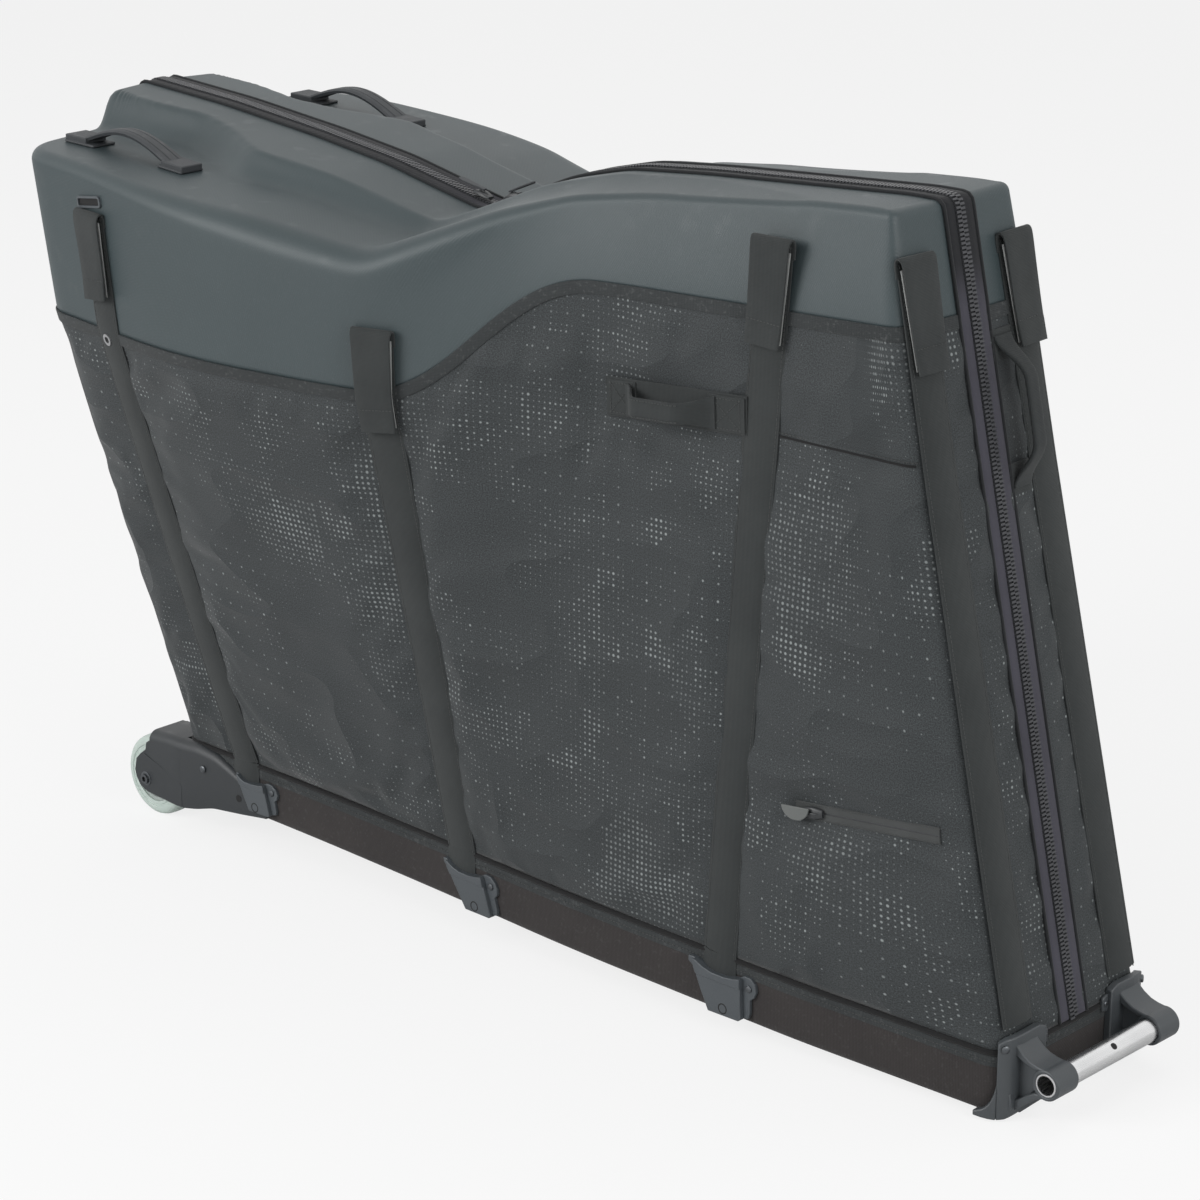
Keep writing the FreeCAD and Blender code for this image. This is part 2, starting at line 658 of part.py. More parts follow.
def below_edge(drop):
    """All of the near half below the shell's lower edge, lowered by a drop."""
    low, high, tail = size("edge_low") - drop, size("edge_high") - drop, size("edge_tail") - drop
    start, finish, soft = size("wave_start_x"), size("wave_end_x"), size("wave_soft")
    end = size("base_length")
    left, bottom = -FAR_OUT, -FAR_OUT
    wave = Part.BezierCurve()
    wave.setPoles([Vector(start, 0, low), Vector(start + soft, 0, low),
                   Vector(finish - soft, 0, high), Vector(finish, 0, high)])
    spots = [Vector(finish, 0, high), Vector(end, 0, tail), Vector(FAR_OUT, 0, tail),
             Vector(FAR_OUT, 0, bottom), Vector(left, 0, bottom), Vector(left, 0, low),
             Vector(start, 0, low)]
    edges = [wave.toShape()]
    edges += [Part.LineSegment(a, b).toShape() for a, b in zip(spots, spots[1:])]
    return Part.Face(Part.Wire(edges)).extrude(Vector(0, -FAR_OUT, 0))


# Hard shell, padded panel, tapes and zip

wall = layer(0, -size("wall_thick")).common(slab(size("zip_slot_half"), FAR_OUT))
near_shell = feature("near_shell", wall.cut(below_edge(0)))
near_side_panel = feature("near_side_panel", wall.common(below_edge(0)))

SLEEVES = ("a", "b", "c")


def sleeve_mid(name, z):
    """X of a side sleeve's middle at a height."""
    foot_x, foot_z = size("sleeve_%s_foot_x" % name), size("base_height")
    top_x, top_z = size("sleeve_%s_top_x" % name), size("sleeve_%s_top" % name)
    return foot_x + (top_x - foot_x) * (z - foot_z) / (top_z - foot_z)


def sleeve_strip(name, wide, low, high):
    """Outline of a slanting strip on the near side, in X and Z."""
    at_low, at_high = sleeve_mid(name, low), sleeve_mid(name, high)
    half = wide / 2
    return [(at_low - half, low), (at_low + half, low), (at_high + half, high), (at_high - half, high)]


def end_strip(wide, low, high):
    """Outline of the slanting strip on the tube end, in Y and Z."""
    foot_y, foot_z = size("end_sleeve_foot_y"), size("end_sleeve_foot")
    top_y, top_z = size("end_sleeve_top_y"), size("end_sleeve_top")
    lean = (top_y - foot_y) / (top_z - foot_z)
    at_low, at_high = foot_y + lean * (low - foot_z), foot_y + lean * (high - foot_z)
    half = wide / 2
    return [(at_low - half, low), (at_low + half, low), (at_high + half, high), (at_high - half, high)]


def strip_prisms(extra, rise_foot, rise_top):
    """Prisms of the three side sleeves and the end sleeve, wider or shorter by given amounts."""
    wide = size("sleeve_wide") + extra
    foot = size("base_height") + size("hinge_gap") + rise_foot
    prisms = []
    for name in SLEEVES:
        high = size("sleeve_%s_top" % name) + rise_top
        prisms.append(side_prism(sleeve_strip(name, wide, foot, high)))
    high = size("end_sleeve_top") + rise_top
    prisms.append(end_prism(end_strip(wide, size("end_sleeve_foot") + rise_foot, high)))
    return prisms


def pocket_prisms():
    wide = size("sleeve_wide") + 2 * size("pocket_side")
    prisms = []
    for name in SLEEVES:
        top = size("sleeve_%s_top" % name) + size("pocket_cap")
        prisms.append(side_prism(sleeve_strip(name, wide, top - size("pocket_long"), top)))
    top = size("end_sleeve_top") + size("pocket_cap")
    prisms.append(end_prism(end_strip(wide, top - size("pocket_long"), top)))
    return prisms


tape = size("tape_thick")
sleeve_out = size("sleeve_thick")
batten_in = (sleeve_out - size("batten_thick")) / 2
batten_out = batten_in + size("batten_thick")
pocket_out = sleeve_out + size("pocket_thick")

cloth_gap = size("cloth_gap")
tape_layer = layer(tape, cloth_gap)
sleeve_layer = layer(sleeve_out, cloth_gap)
pocket_layer = layer(pocket_out, cloth_gap)
batten_layer = layer(batten_out, batten_in)

sleeve_prisms = strip_prisms(0, 0, 0)
margin = size("batten_margin")
batten_prisms = strip_prisms(size("batten_wide") - size("sleeve_wide"), margin, -margin)

battens = [batten_layer.common(prism) for prism in batten_prisms]
tubes = [sleeve_layer.common(prism) for prism in sleeve_prisms]
sleeves = [tube.cut(batten) for tube, batten in zip(tubes, battens)]
pockets = [pocket_layer.common(prism).cut(tube) for prism, tube in zip(pocket_prisms(), tubes)]


def solids_of(shapes):
    return Part.makeCompound([solid for shape in shapes for solid in shape.Solids])


near_rod_sleeves = feature("near_rod_sleeves", solids_of(sleeves))
near_rods = feature("near_rods", solids_of(battens))
near_rod_pockets = feature("near_rod_pockets", solids_of(pockets))

band = below_edge(-tape).cut(below_edge(size("edge_tape_wide") - tape))
edge_tape = tape_layer.common(band).common(slab(size("zip_tape_half"), FAR_OUT))
for piece in tubes + pockets:
    edge_tape = edge_tape.cut(piece)
near_edge_tape = feature("near_edge_tape", solids_of([edge_tape]))

zip_edge = size("zip_gap") / 2
zip_tape = tape_layer.common(slab(zip_edge, size("zip_tape_half")))
near_zip_tape = feature("near_zip_tape", zip_tape)
chain_out = tape + size("chain_high")
near_zip_chain = feature("near_zip_chain", layer(chain_out, tape).common(slab(zip_edge, size("chain_half"))))


# Top handle on the lobe

def arch(start, finish, rise, thick, up, wide, across):
    """A bowed strip between two points; up is the way it rises, across its width's way."""
    middle = (start + finish) * 0.5 + up * rise
    lower = Part.Arc(start, middle, finish).toShape()
    upper = Part.Arc(start + up * thick, middle + up * thick, finish + up * thick).toShape()
    ends = [Part.LineSegment(start, start + up * thick).toShape(),
            Part.LineSegment(finish, finish + up * thick).toShape()]
    face = Part.Face(Part.Wire(Part.__sortEdges__([lower, ends[1], upper, ends[0]])))
    face.translate(across * (-wide / 2))
    return face.extrude(across * wide)


cap_seat = size("cap_high") - size("grip_thick") - size("cap_roof")
grip_ends = [size("grip_left_x") + size("cap_long"), size("grip_right_x") - size("cap_long")]
grip_feet = [Vector(x, -size("grip_y"), side_height(x) + cap_seat) for x in grip_ends]
up, across = Vector(0, 0, 1), Vector(0, 1, 0)
near_top_handle = feature("near_top_handle", arch(grip_feet[0], grip_feet[1], size("grip_rise"),
                                                  size("grip_thick"), up, size("grip_wide"), across))


def cap(inner_x, outer_x):
    """End cap that follows the lobe's top, its nose lower than its back."""
    nose = size("cap_nose")
    wide = size("grip_wide") + 2 * size("cap_side")
    low = [(inner_x, side_height(inner_x)), (outer_x, side_height(outer_x))]
    high = [(outer_x, low[1][1] + nose), (inner_x, low[0][1] + size("cap_high"))]
    spots = [Vector(x, -size("grip_y") + wide / 2, z) for x, z in low + high]
    return Part.Face(Part.makePolygon(spots + spots[:1])).extrude(Vector(0, -wide, 0))


caps = [cap(grip_ends[0], size("grip_left_x")), cap(grip_ends[1], size("grip_right_x"))]
near_handle_caps = feature("near_handle_caps", Part.makeCompound(caps))


# Side grab handle and end grab handle

patch_low, patch_rise, patch_high = size("patch_low"), size("patch_rise"), size("patch_high")
patch_top = patch_low + patch_rise + patch_high
patch_room = size("sleeve_wide") / 2 + size("patch_gap")
patch_right_x = min(sleeve_mid("c", patch_low), sleeve_mid("c", patch_top)) - patch_room
patch_left_x = patch_right_x - size("patch_long")
patch_outline = [
    (patch_left_x, patch_low),
    (patch_right_x, patch_low + patch_rise),
    (patch_right_x, patch_top),
    (patch_left_x, patch_low + patch_high),
]
patch = tape_layer.common(side_prism(patch_outline))
near_grab_patch = feature("near_grab_patch", solids_of([patch]))


def grab_loop(middle, along_way, out_way, seat):
    """A webbing loop: two sewn ends lie on the seat, the grip bows out between them."""
    half, sew, thick = size("loop_long") / 2, size("loop_sew"), size("loop_thick")
    wide = size("loop_wide")
    wide_way = out_way.cross(along_way).normalize()
    base_spot = middle + out_way * seat
    start, finish = base_spot - along_way * half, base_spot + along_way * half
    loop = arch(start, finish, size("loop_rise"), thick, out_way, wide, wide_way)
    for spot, way in ((start, -1), (finish, 1)):
        corner = spot - wide_way * (wide / 2)
        end = corner + along_way * (sew * way)
        flat = [corner, end, end + out_way * thick, corner + out_way * thick]
        tab = Part.Face(Part.makePolygon(flat + flat[:1])).extrude(wide_way * wide)
        loop = loop.fuse(tab)
    return loop.removeSplitter()


patch_mid_x = (patch_left_x + patch_right_x) / 2
patch_mid_z = (patch_low + patch_top) / 2


def wall_frame(x, z):
    """A point on the near wall, the wall's long direction and its outward normal."""
    def spot(px, pz):
        return Vector(px, -wall_half(px, pz), pz)
    along_wall = (spot(x + 1, z) - spot(x - 1, z)).normalize()
    up_wall = (spot(x, z + 1) - spot(x, z - 1)).normalize()
    return spot(x, z), along_wall, along_wall.cross(up_wall).normalize()


sew_gap = size("sew_gap")
place, along_wall, out_wall = wall_frame(patch_mid_x, patch_mid_z)
near_grab_handle = feature("near_grab_handle", grab_loop(place, along_wall, out_wall, tape + sew_gap))


def tail_frame(y, z):
    """A point on the tube end face of the far half, its rising direction and its normal."""
    def spot(py, pz):
        return Vector(tail_face(py, pz), py, pz)
    up_face = (spot(y, z + 1) - spot(y, z - 1)).normalize()
    side_face = (spot(y + 1, z) - spot(y - 1, z)).normalize()
    return spot(y, z), up_face, side_face.cross(up_face).normalize()


place, up_tail, out_tail = tail_frame(size("end_loop_y"), size("end_loop_z"))
feature("end_grab_handle", grab_loop(place, up_tail, out_tail, sew_gap))


# Pocket zip in the near panel

def slit_strip(half):
    left, right = size("slit_left_x"), size("slit_right_x")
    low, high = size("slit_z"), size("slit_z") + size("slit_rise")
    return [(left, low - half), (right, high - half), (right, high + half), (left, low + half)]


slit = tape_layer.common(side_prism(slit_strip(size("slit_wide") / 2)))
feature("pocket_zip_tape", solids_of([slit]))


def slider_block(spot, along_way, out_way, gap):
    """A zip slider: a block whose underside rises from a keel on the chain's middle line."""
    long, high, half = size("slider_long"), size("slider_high"), size("slider_half")
    nose, slope, keel = size("slider_nose"), size("slider_slope"), size("slider_keel")
    wide_way = out_way.cross(along_way).normalize()
    start = spot + out_way * gap - along_way * (long / 2)
    flat = [(0, 0), (long, 0), (long, nose), (long - slope, high), (slope, high), (0, nose)]
    spots = [start - wide_way * half + along_way * a + out_way * b for a, b in flat]
    block = Part.Face(Part.makePolygon(spots + spots[:1])).extrude(wide_way * (2 * half))
    for side in (-1, 1):
        relief = [start, start + wide_way * (half * side), start + wide_way * (half * side) + out_way * keel]
        wedge = Part.Face(Part.makePolygon(relief + relief[:1])).extrude(along_way * long)
        block = block.cut(wedge)
    return block


TURN_ROOM = (math.sqrt(2) - 1) / 2


def pull_tab(spot, along_way, out_way, gap, width):
    """A pull lying on its slider, hinged near the slider's middle."""
    wide_way = out_way.cross(along_way).normalize()
    lift = gap + size("slider_high") + size("slider_gap") + size("pull_thick") * TURN_ROOM
    start = spot + out_way * lift - along_way * size("pull_thick") - wide_way * width
    long, thick = size("pull_long"), size("pull_thick")
    flat = [(0, 0), (long, 0), (long, thick), (0, thick)]
    spots = [start + along_way * a + out_way * b for a, b in flat]
    return Part.Face(Part.makePolygon(spots + spots[:1])).extrude(wide_way * (2 * width))


slit_mid = size("slit_left_x") + size("slider_long")
slit_way = wall_frame(size("slit_right_x"), size("slit_z") + size("slit_rise"))[0]
slit_way = (slit_way - wall_frame(size("slit_left_x"), size("slit_z"))[0]).normalize()
slit_lift = size("slit_rise") * size("slider_long") / size("slit_long")
place, along_wall, out_wall = wall_frame(slit_mid, size("slit_z") + slit_lift)
feature("pocket_slider", slider_block(place, slit_way, out_wall, tape + size("slider_gap")))
feature("pocket_pull", pull_tab(place, slit_way * -1, out_wall, tape + size("slider_gap"),
                                size("pull_half") * 2))


# Sliders of the main zip, on each side of the valley

def crest_frame(one, two, step):
    """A point on the ridge line a step from one station towards another, its way and normal."""
    def spot(name):
        return Vector(size(name + "_x"), 0, size("crest_z") - size(name + "_mid_drop"))
    way = (spot(two) - spot(one)).normalize()
    normal = Vector(-way.z, 0, way.x)
    return spot(one) + way * step, way, normal if normal.z > 0 else normal * -1


over_chain = chain_out + size("slider_gap")
for name, goal in (("left", "slope"), ("right", "flank")):
    place, way, normal = crest_frame("valley", goal, size("slider_step"))
    feature("zip_slider_" + name, slider_block(place, way, normal, over_chain))
    feature("zip_pull_" + name, pull_tab(place, way, normal, over_chain, size("pull_half")))


# Base tub with its board

def base_prism(distance, low, high):
    """Half of the base's outline, moved outwards, between two heights."""
    points = moved_out(plan_points("base"), distance)
    return Part.Face(outline(points, corner_runs("base"), low)).extrude(Vector(0, 0, high - low))


def whole(half):
    """Both halves of a shape that is cut on the zip plane."""
    other = half.mirror(Vector(0, 0, 0), Vector(0, 1, 0))
    return half.fuse(other).removeSplitter()


chamfer = size("base_chamfer")
tub_wires = [outline(moved_out(plan_points("base"), -chamfer), corner_runs("base"), 0),
             outline(plan_points("base"), corner_runs("base"), chamfer),
             outline(plan_points("base"), corner_runs("base"), size("base_height"))]
tub_half = Part.makeLoft(tub_wires, True, True)
tub_inside = max(size("tub_wall"), chamfer / 2)
tub_half = tub_half.cut(base_prism(-tub_inside, size("tub_wall"), 2 * size("base_height")))
feature("base_tub", whole(tub_half))
board_half = base_prism(-tub_inside - size("board_play"), size("tub_wall"),
                        size("tub_wall") + size("board_thick"))
feature("base_board", whole(board_half))


# Rod sockets riveted to the tub

def socket_outline(name):
    middle = size("sleeve_%s_foot_x" % name)
    half, taper = size("socket_wide") / 2, size("socket_taper")
    low, high = size("socket_low"), size("socket_high")
    return [(middle - half + taper, low), (middle + half - taper, low),
            (middle + half, high), (middle - half, high)]


socket_thick = size("socket_thick")
socket_layer = base_prism(socket_thick, 0, size("base_height")).cut(
    base_prism(0, 0, size("base_height")))
socket_shapes = [socket_layer.common(side_prism(socket_outline(name))) for name in SLEEVES]
rivet_spots = []
for name in SLEEVES:
    for way in (-1, 1):
        x = size("sleeve_%s_foot_x" % name) + way * (size("socket_wide") / 2 - size("rivet_edge"))
        rivet_spots.append((x, half_at("base", x) + socket_thick))


def rivet(x, half, z):
    """A domed rivet head on a plate on the near side."""
    seat = Vector(x, size("rivet_sink") - half, z)
    high = size("rivet_proud") + size("rivet_sink")
    return Part.makeCone(size("rivet_radius"), size("rivet_top"), high, seat, Vector(0, -1, 0))


rivet_z = size("socket_high") - size("rivet_drop")
rivets = [rivet(x, half, rivet_z) for x, half in rivet_spots]
clear_rivets = solids_of(rivets)
feature("near_rod_sockets", solids_of([shape.cut(clear_rivets) for shape in socket_shapes]))


# Wheel housings, axle bolts and wheels

axle = terms([("wheel_x", "wheel_z")])[0]
inner_cheek, outer_cheek = term("inner_cheek"), term("outer_cheek")
near_wheel_housing = new_body("near_wheel_housing")
pad(near_wheel_housing, "XZ_Plane", terms([
    ("wheel_x", "wheel_z - cheek_nose"),
    ("0", "0 - cheek_drop"),
    ("cheek_tail_x", "cheek_tail_low"),
    ("cheek_tail_x", "cheek_tail_high"),
    ("cheek_top_x", "cheek_top_z"),
    ("wheel_x + cheek_nose * 0.6", "cheek_top_z"),
    ("wheel_x - cheek_nose * 0.2", "wheel_z + cheek_nose"),
    ("wheel_x - cheek_nose * 0.8", "wheel_z + cheek_nose * 0.5"),
    ("wheel_x - cheek_nose", "wheel_z"),
    ("wheel_x - cheek_nose * 0.7", "wheel_z - cheek_nose * 0.7"),
]), outer_cheek, term("cheek_thick"))
pad(near_wheel_housing, "XZ_Plane", terms([
    ("base_corner_run", "base_chamfer"),
    ("pad_end_x", "base_chamfer"),
    ("pad_end_x", "cheek_tail_high"),
    ("cheek_top_x", "cheek_top_z - base_chamfer"),
    ("base_corner_run", "cheek_top_z - base_chamfer"),
]), term("side_y"), term("socket_thick"))
pad(near_wheel_housing, "XZ_Plane", terms([
    ("0 - web_thick", "0 - cheek_drop"),
    ("0", "0 - cheek_drop"),
    ("0", "cheek_top_z"),
    ("0 - web_thick", "cheek_top_z"),
]), inner_cheek, term("2 * hub_half + 2 * cheek_gap + cheek_thick"))
pad(near_wheel_housing, "XZ_Plane", terms([
    ("wheel_x", "wheel_z - cheek_nose"),
    ("0", "0 - cheek_drop"),
    ("0", "cheek_top_z"),
    ("wheel_x + cheek_nose * 0.6", "cheek_top_z"),
    ("wheel_x - cheek_nose * 0.2", "wheel_z + cheek_nose"),
    ("wheel_x - cheek_nose * 0.8", "wheel_z + cheek_nose * 0.5"),
    ("wheel_x - cheek_nose", "wheel_z"),
    ("wheel_x - cheek_nose * 0.7", "wheel_z - cheek_nose * 0.7"),
]), inner_cheek, term("cheek_thick"))
bore(near_wheel_housing, "XZ_Plane", axle, term("axle_radius + axle_fit"), inner_cheek,
     term("2 * hub_half + 2 * cheek_gap + 2 * cheek_thick"), True)

wheel_axis = terms([("wheel_x", "0 - inner_cheek"), ("wheel_x", "0 - outer_cheek")])
bolt_in = "inner_cheek"
bolt_out = "outer_cheek + cheek_thick"
near_axle_bolt = new_body("near_axle_bolt")
turn(near_axle_bolt, "XY_Plane", wheel_axis, terms([
    ("wheel_x", "0 - (%s - axle_head_high)" % bolt_in),
    ("wheel_x + axle_head_radius", "0 - (%s - axle_head_high)" % bolt_in),
    ("wheel_x + axle_head_radius", "0 - (%s)" % bolt_in),
    ("wheel_x + axle_radius", "0 - (%s)" % bolt_in),
    ("wheel_x + axle_radius", "0 - (%s)" % bolt_out),
    ("wheel_x + axle_head_radius", "0 - (%s)" % bolt_out),
    ("wheel_x + axle_head_radius * 0.8", "0 - (%s + axle_head_high)" % bolt_out),
    ("wheel_x", "0 - (%s + axle_head_high)" % bolt_out),
]), term("wheel_z"))

near_tyre = new_body("near_tyre")
turn(near_tyre, "XY_Plane", wheel_axis, terms([
    ("wheel_x + tyre_seat", "0 - (wheel_mid_y - wheel_wide / 2 + tyre_lip)"),
    ("wheel_x + wheel_radius - tyre_crown", "0 - (wheel_mid_y - wheel_wide / 2)"),
    ("wheel_x + wheel_radius - tyre_crown * 0.3", "0 - (wheel_mid_y - wheel_wide / 2 + tyre_crown * 0.4)"),
    ("wheel_x + wheel_radius", "0 - (wheel_mid_y - wheel_wide / 2 + tyre_crown)"),
    ("wheel_x + wheel_radius", "0 - (wheel_mid_y + wheel_wide / 2 - tyre_crown)"),
    ("wheel_x + wheel_radius - tyre_crown * 0.3", "0 - (wheel_mid_y + wheel_wide / 2 - tyre_crown * 0.4)"),
    ("wheel_x + wheel_radius - tyre_crown", "0 - (wheel_mid_y + wheel_wide / 2)"),
    ("wheel_x + tyre_seat", "0 - (wheel_mid_y + wheel_wide / 2 - tyre_lip)"),
]), term("wheel_z"))
near_wheel_core = new_body("near_wheel_core")
turn(near_wheel_core, "XY_Plane", wheel_axis, terms([
    ("wheel_x + bearing_radius", "0 - (wheel_mid_y - wheel_wide / 2 + tyre_lip)"),
    ("wheel_x + tyre_seat", "0 - (wheel_mid_y - wheel_wide / 2 + tyre_lip)"),
    ("wheel_x + tyre_seat", "0 - (wheel_mid_y + wheel_wide / 2 - tyre_lip)"),
    ("wheel_x + bearing_radius", "0 - (wheel_mid_y + wheel_wide / 2 - tyre_lip)"),
]), term("wheel_z"))
near_bearings = new_body("near_bearings")
turn(near_bearings, "XY_Plane", wheel_axis, terms([
    ("wheel_x + axle_radius + axle_fit", "0 - (wheel_mid_y - hub_half)"),
    ("wheel_x + hub_radius", "0 - (wheel_mid_y - hub_half)"),
    ("wheel_x + hub_radius", "0 - (wheel_mid_y - wheel_wide / 2 + tyre_lip)"),
    ("wheel_x + bearing_radius", "0 - (wheel_mid_y - wheel_wide / 2 + tyre_lip)"),
    ("wheel_x + bearing_radius", "0 - (wheel_mid_y - wheel_wide / 2 + tyre_lip + bearing_wide)"),
    ("wheel_x + hub_radius", "0 - (wheel_mid_y - wheel_wide / 2 + tyre_lip + bearing_wide)"),
    ("wheel_x + hub_radius", "0 - (wheel_mid_y + wheel_wide / 2 - tyre_lip - bearing_wide)"),
    ("wheel_x + bearing_radius", "0 - (wheel_mid_y + wheel_wide / 2 - tyre_lip - bearing_wide)"),
    ("wheel_x + bearing_radius", "0 - (wheel_mid_y + wheel_wide / 2 - tyre_lip)"),
    ("wheel_x + hub_radius", "0 - (wheel_mid_y + wheel_wide / 2 - tyre_lip)"),
    ("wheel_x + hub_radius", "0 - (wheel_mid_y + hub_half)"),
    ("wheel_x + axle_radius + axle_fit", "0 - (wheel_mid_y + hub_half)"),
]), term("wheel_z"))


# End brackets with their ears, and the tube handle between them

FLOOR = ("wheel_z - wheel_radius / cos ( stand_tilt * 1deg )"
         " + tan ( stand_tilt * 1deg ) * ( %s - wheel_x )")
near_end_bracket = new_body("near_end_bracket")
pad(near_end_bracket, "XZ_Plane", terms([
    ("base_length", "0"),
    ("base_length + bracket_thick", "0"),
    ("base_length + bracket_thick", "bracket_top"),
    ("base_length + bracket_thick / 4", "bracket_top"),
    ("base_length + bracket_thick / 4", "base_height"),
    ("base_length", "base_height - bracket_thick / 4"),
]), term("bracket_inner_y"), term("bracket_side_y + bracket_side_thick - bracket_inner_y"))
pad(near_end_bracket, "XZ_Plane", terms([
    ("base_length - bracket_side_x", "base_chamfer"),
    ("base_length + bracket_thick", "base_chamfer"),
    ("base_length + bracket_thick", "bracket_side_top"),
    ("base_length - bracket_side_x", "bracket_side_top - bracket_side_thick"),
]), term("bracket_side_y"), term("bracket_side_thick"))
foot_back, foot_front = "base_length + bracket_thick - foot_long", "base_length + bracket_thick"
pad(near_end_bracket, "XZ_Plane", terms([
    (foot_back, FLOOR % ("( %s )" % foot_back)),
    (foot_front, FLOOR % ("( %s )" % foot_front)),
    (foot_front, "0"),
    (foot_back, "0"),
]), term("bracket_inner_y"), term("base_half_end - bracket_inner_y"))
pad(near_end_bracket, "XZ_Plane", terms([
    ("base_length + bracket_thick", "tube_z - ear_radius - bracket_thick"),
    ("base_length + tube_reach", "tube_z - ear_radius"),
    ("base_length + tube_reach", "tube_z + ear_radius"),
    ("base_length + bracket_thick", "tube_z + ear_radius + bracket_thick"),
]), term("ear_inner_y"), term("ear_thick"))
tube_spot = terms([("base_length + tube_reach", "tube_z")])[0]
pad_round(near_end_bracket, "XZ_Plane", tube_spot, term("ear_radius"), term("ear_inner_y"),
          term("ear_thick"))
bore(near_end_bracket, "XZ_Plane", tube_spot, term("tube_radius + tube_fit"), term("ear_inner_y"),
     term("ear_thick"), True)

tube_handle = new_body("tube_handle")
tube_line = terms([("base_length + tube_reach", "0"), ("base_length + tube_reach", "ear_outer_y")])
turn(tube_handle, "XY_Plane", tube_line, terms([
    ("base_length + tube_reach + tube_radius - tube_wall", "0 - ear_outer_y"),
    ("base_length + tube_reach + tube_radius", "0 - ear_outer_y"),
    ("base_length + tube_reach + tube_radius", "ear_outer_y"),
    ("base_length + tube_reach + tube_radius - tube_wall", "ear_outer_y"),
]), term("tube_z"))


# Bike stand on the board

stand_rail = new_body("stand_rail")
rail_sketch = new_sketch(stand_rail, "YZ_Plane", term("rail_left_x"))
for inset in ("0", "rail_wall"):
    draw_polygon(rail_sketch, terms([
        ("0 - rail_half + %s" % inset, "rail_low + %s" % inset),
        ("rail_half - %s" % inset, "rail_low + %s" % inset),
        ("rail_half - %s" % inset, "rail_top - %s" % inset),
        ("0 - rail_half + %s" % inset, "rail_top - %s" % inset),
    ]))
extrude(stand_rail, rail_sketch, term("rail_right_x - rail_left_x"))

bottom_bracket_rest = new_body("bottom_bracket_rest")
pad(bottom_bracket_rest, "XZ_Plane", terms([
    ("rest_x - rest_long / 2", "rail_top"),
    ("rest_x + rest_long / 2", "rail_top"),
    ("rest_x + rest_long / 2", "rail_top + rest_high"),
    ("rest_x + rest_dip", "rail_top + rest_high"),
    ("rest_x", "rail_top + rest_high - rest_dip"),
    ("rest_x - rest_dip", "rail_top + rest_high"),
    ("rest_x - rest_long / 2", "rail_top + rest_high"),
]), term("0 - rest_half"), term("2 * rest_half"))


def bike_mount(name):
    """A shoe on the rail with a post and a head, its axle, and the clamp knob."""
    spot, half = name + "_x", name + "_half"
    axle_z = "rail_top + mount_axle_high"
    mount = new_body(name + "_mount")
    inner, outer = "rail_half + shoe_gap", "rail_half + shoe_gap + shoe_wall"
    lid = "rail_top + shoe_gap"
    low = "rail_low + shoe_gap"
    pad(mount, "YZ_Plane", terms([
        ("0 - (%s)" % outer, low), ("0 - (%s)" % inner, low), ("0 - (%s)" % inner, lid), (inner, lid),
        (inner, low), (outer, low), (outer, lid + " + shoe_wall"), ("0 - (%s)" % outer, lid + " + shoe_wall"),
    ]), term(spot + " - shoe_long / 2"), term("shoe_long"))
    pad(mount, "YZ_Plane", terms([
        ("0 - mount_post_half", lid + " + shoe_wall"), ("mount_post_half", lid + " + shoe_wall"),
        ("mount_post_half", axle_z), ("0 - mount_post_half", axle_z),
    ]), term(spot + " - mount_post_long / 2"), term("mount_post_long"))
    axle_spot = terms([(spot, axle_z)])[0]
    pad_round(mount, "XZ_Plane", axle_spot, term("mount_head"), term("0 - " + half), term("2 * " + half))
    bore(mount, "XZ_Plane", axle_spot, term("mount_axle_radius + axle_fit"), term("0 - " + half),
         term("2 * " + half), True)
    screw_z = "rail_low + knob_radius + knob_clear"
    screw_spot = terms([(spot, screw_z)])[0]
    bore(mount, "XZ_Plane", screw_spot, term("knob_screw + axle_fit"), term(inner), term("shoe_wall"), True)

    mount_line = terms([(spot, "0"), (spot, half)])
    knob = new_body(name + "_knob")
    turn(knob, "XY_Plane", mount_line, terms([
        (spot, "0 - (rail_half + axle_fit)"),
        (spot + " + knob_screw", "0 - (rail_half + axle_fit)"),
        (spot + " + knob_screw", "0 - (%s + shoe_gap)" % outer),
        (spot + " + knob_radius", "0 - (%s + shoe_gap)" % outer),
        (spot + " + knob_radius", "0 - (%s + shoe_gap + knob_long)" % outer),
        (spot, "0 - (%s + shoe_gap + knob_long)" % outer),
    ]), term(screw_z))

    axle_body = new_body(name + "_axle")
    flange = half + " + shoe_wall"
    turn(axle_body, "XY_Plane", mount_line, terms([
        (spot, flange),
        (spot + " + mount_axle_radius", flange),
        (spot + " + mount_axle_radius", "0 - (%s)" % flange),
        (spot + " + axle_knob_radius", "0 - (%s)" % flange),
        (spot + " + axle_knob_radius", "0 - (%s + axle_knob_long)" % flange),
        (spot, "0 - (%s + axle_knob_long)" % flange),
    ]), term(axle_z))


for name in ("fork", "rear"):
    bike_mount(name)


# Far half, mirrored, and the rivets of both sides

MIRRORED = ("shell", "side_panel", "edge_tape", "zip_tape", "zip_chain", "rod_sleeves", "rods",
            "rod_pockets", "top_handle", "handle_caps", "grab_patch", "grab_handle", "rod_sockets",
            "wheel_housing", "axle_bolt", "tyre", "wheel_core", "bearings", "end_bracket")
for name in MIRRORED:
    source = next(piece for piece in nodes if piece.Label == "near_" + name)
    mirrored("far_" + name, source)
mirror_rivets = [one.mirror(Vector(0, 0, 0), Vector(0, 1, 0)) for one in rivets]
feature("socket_rivets", solids_of(rivets + mirror_rivets))


# Standing placement

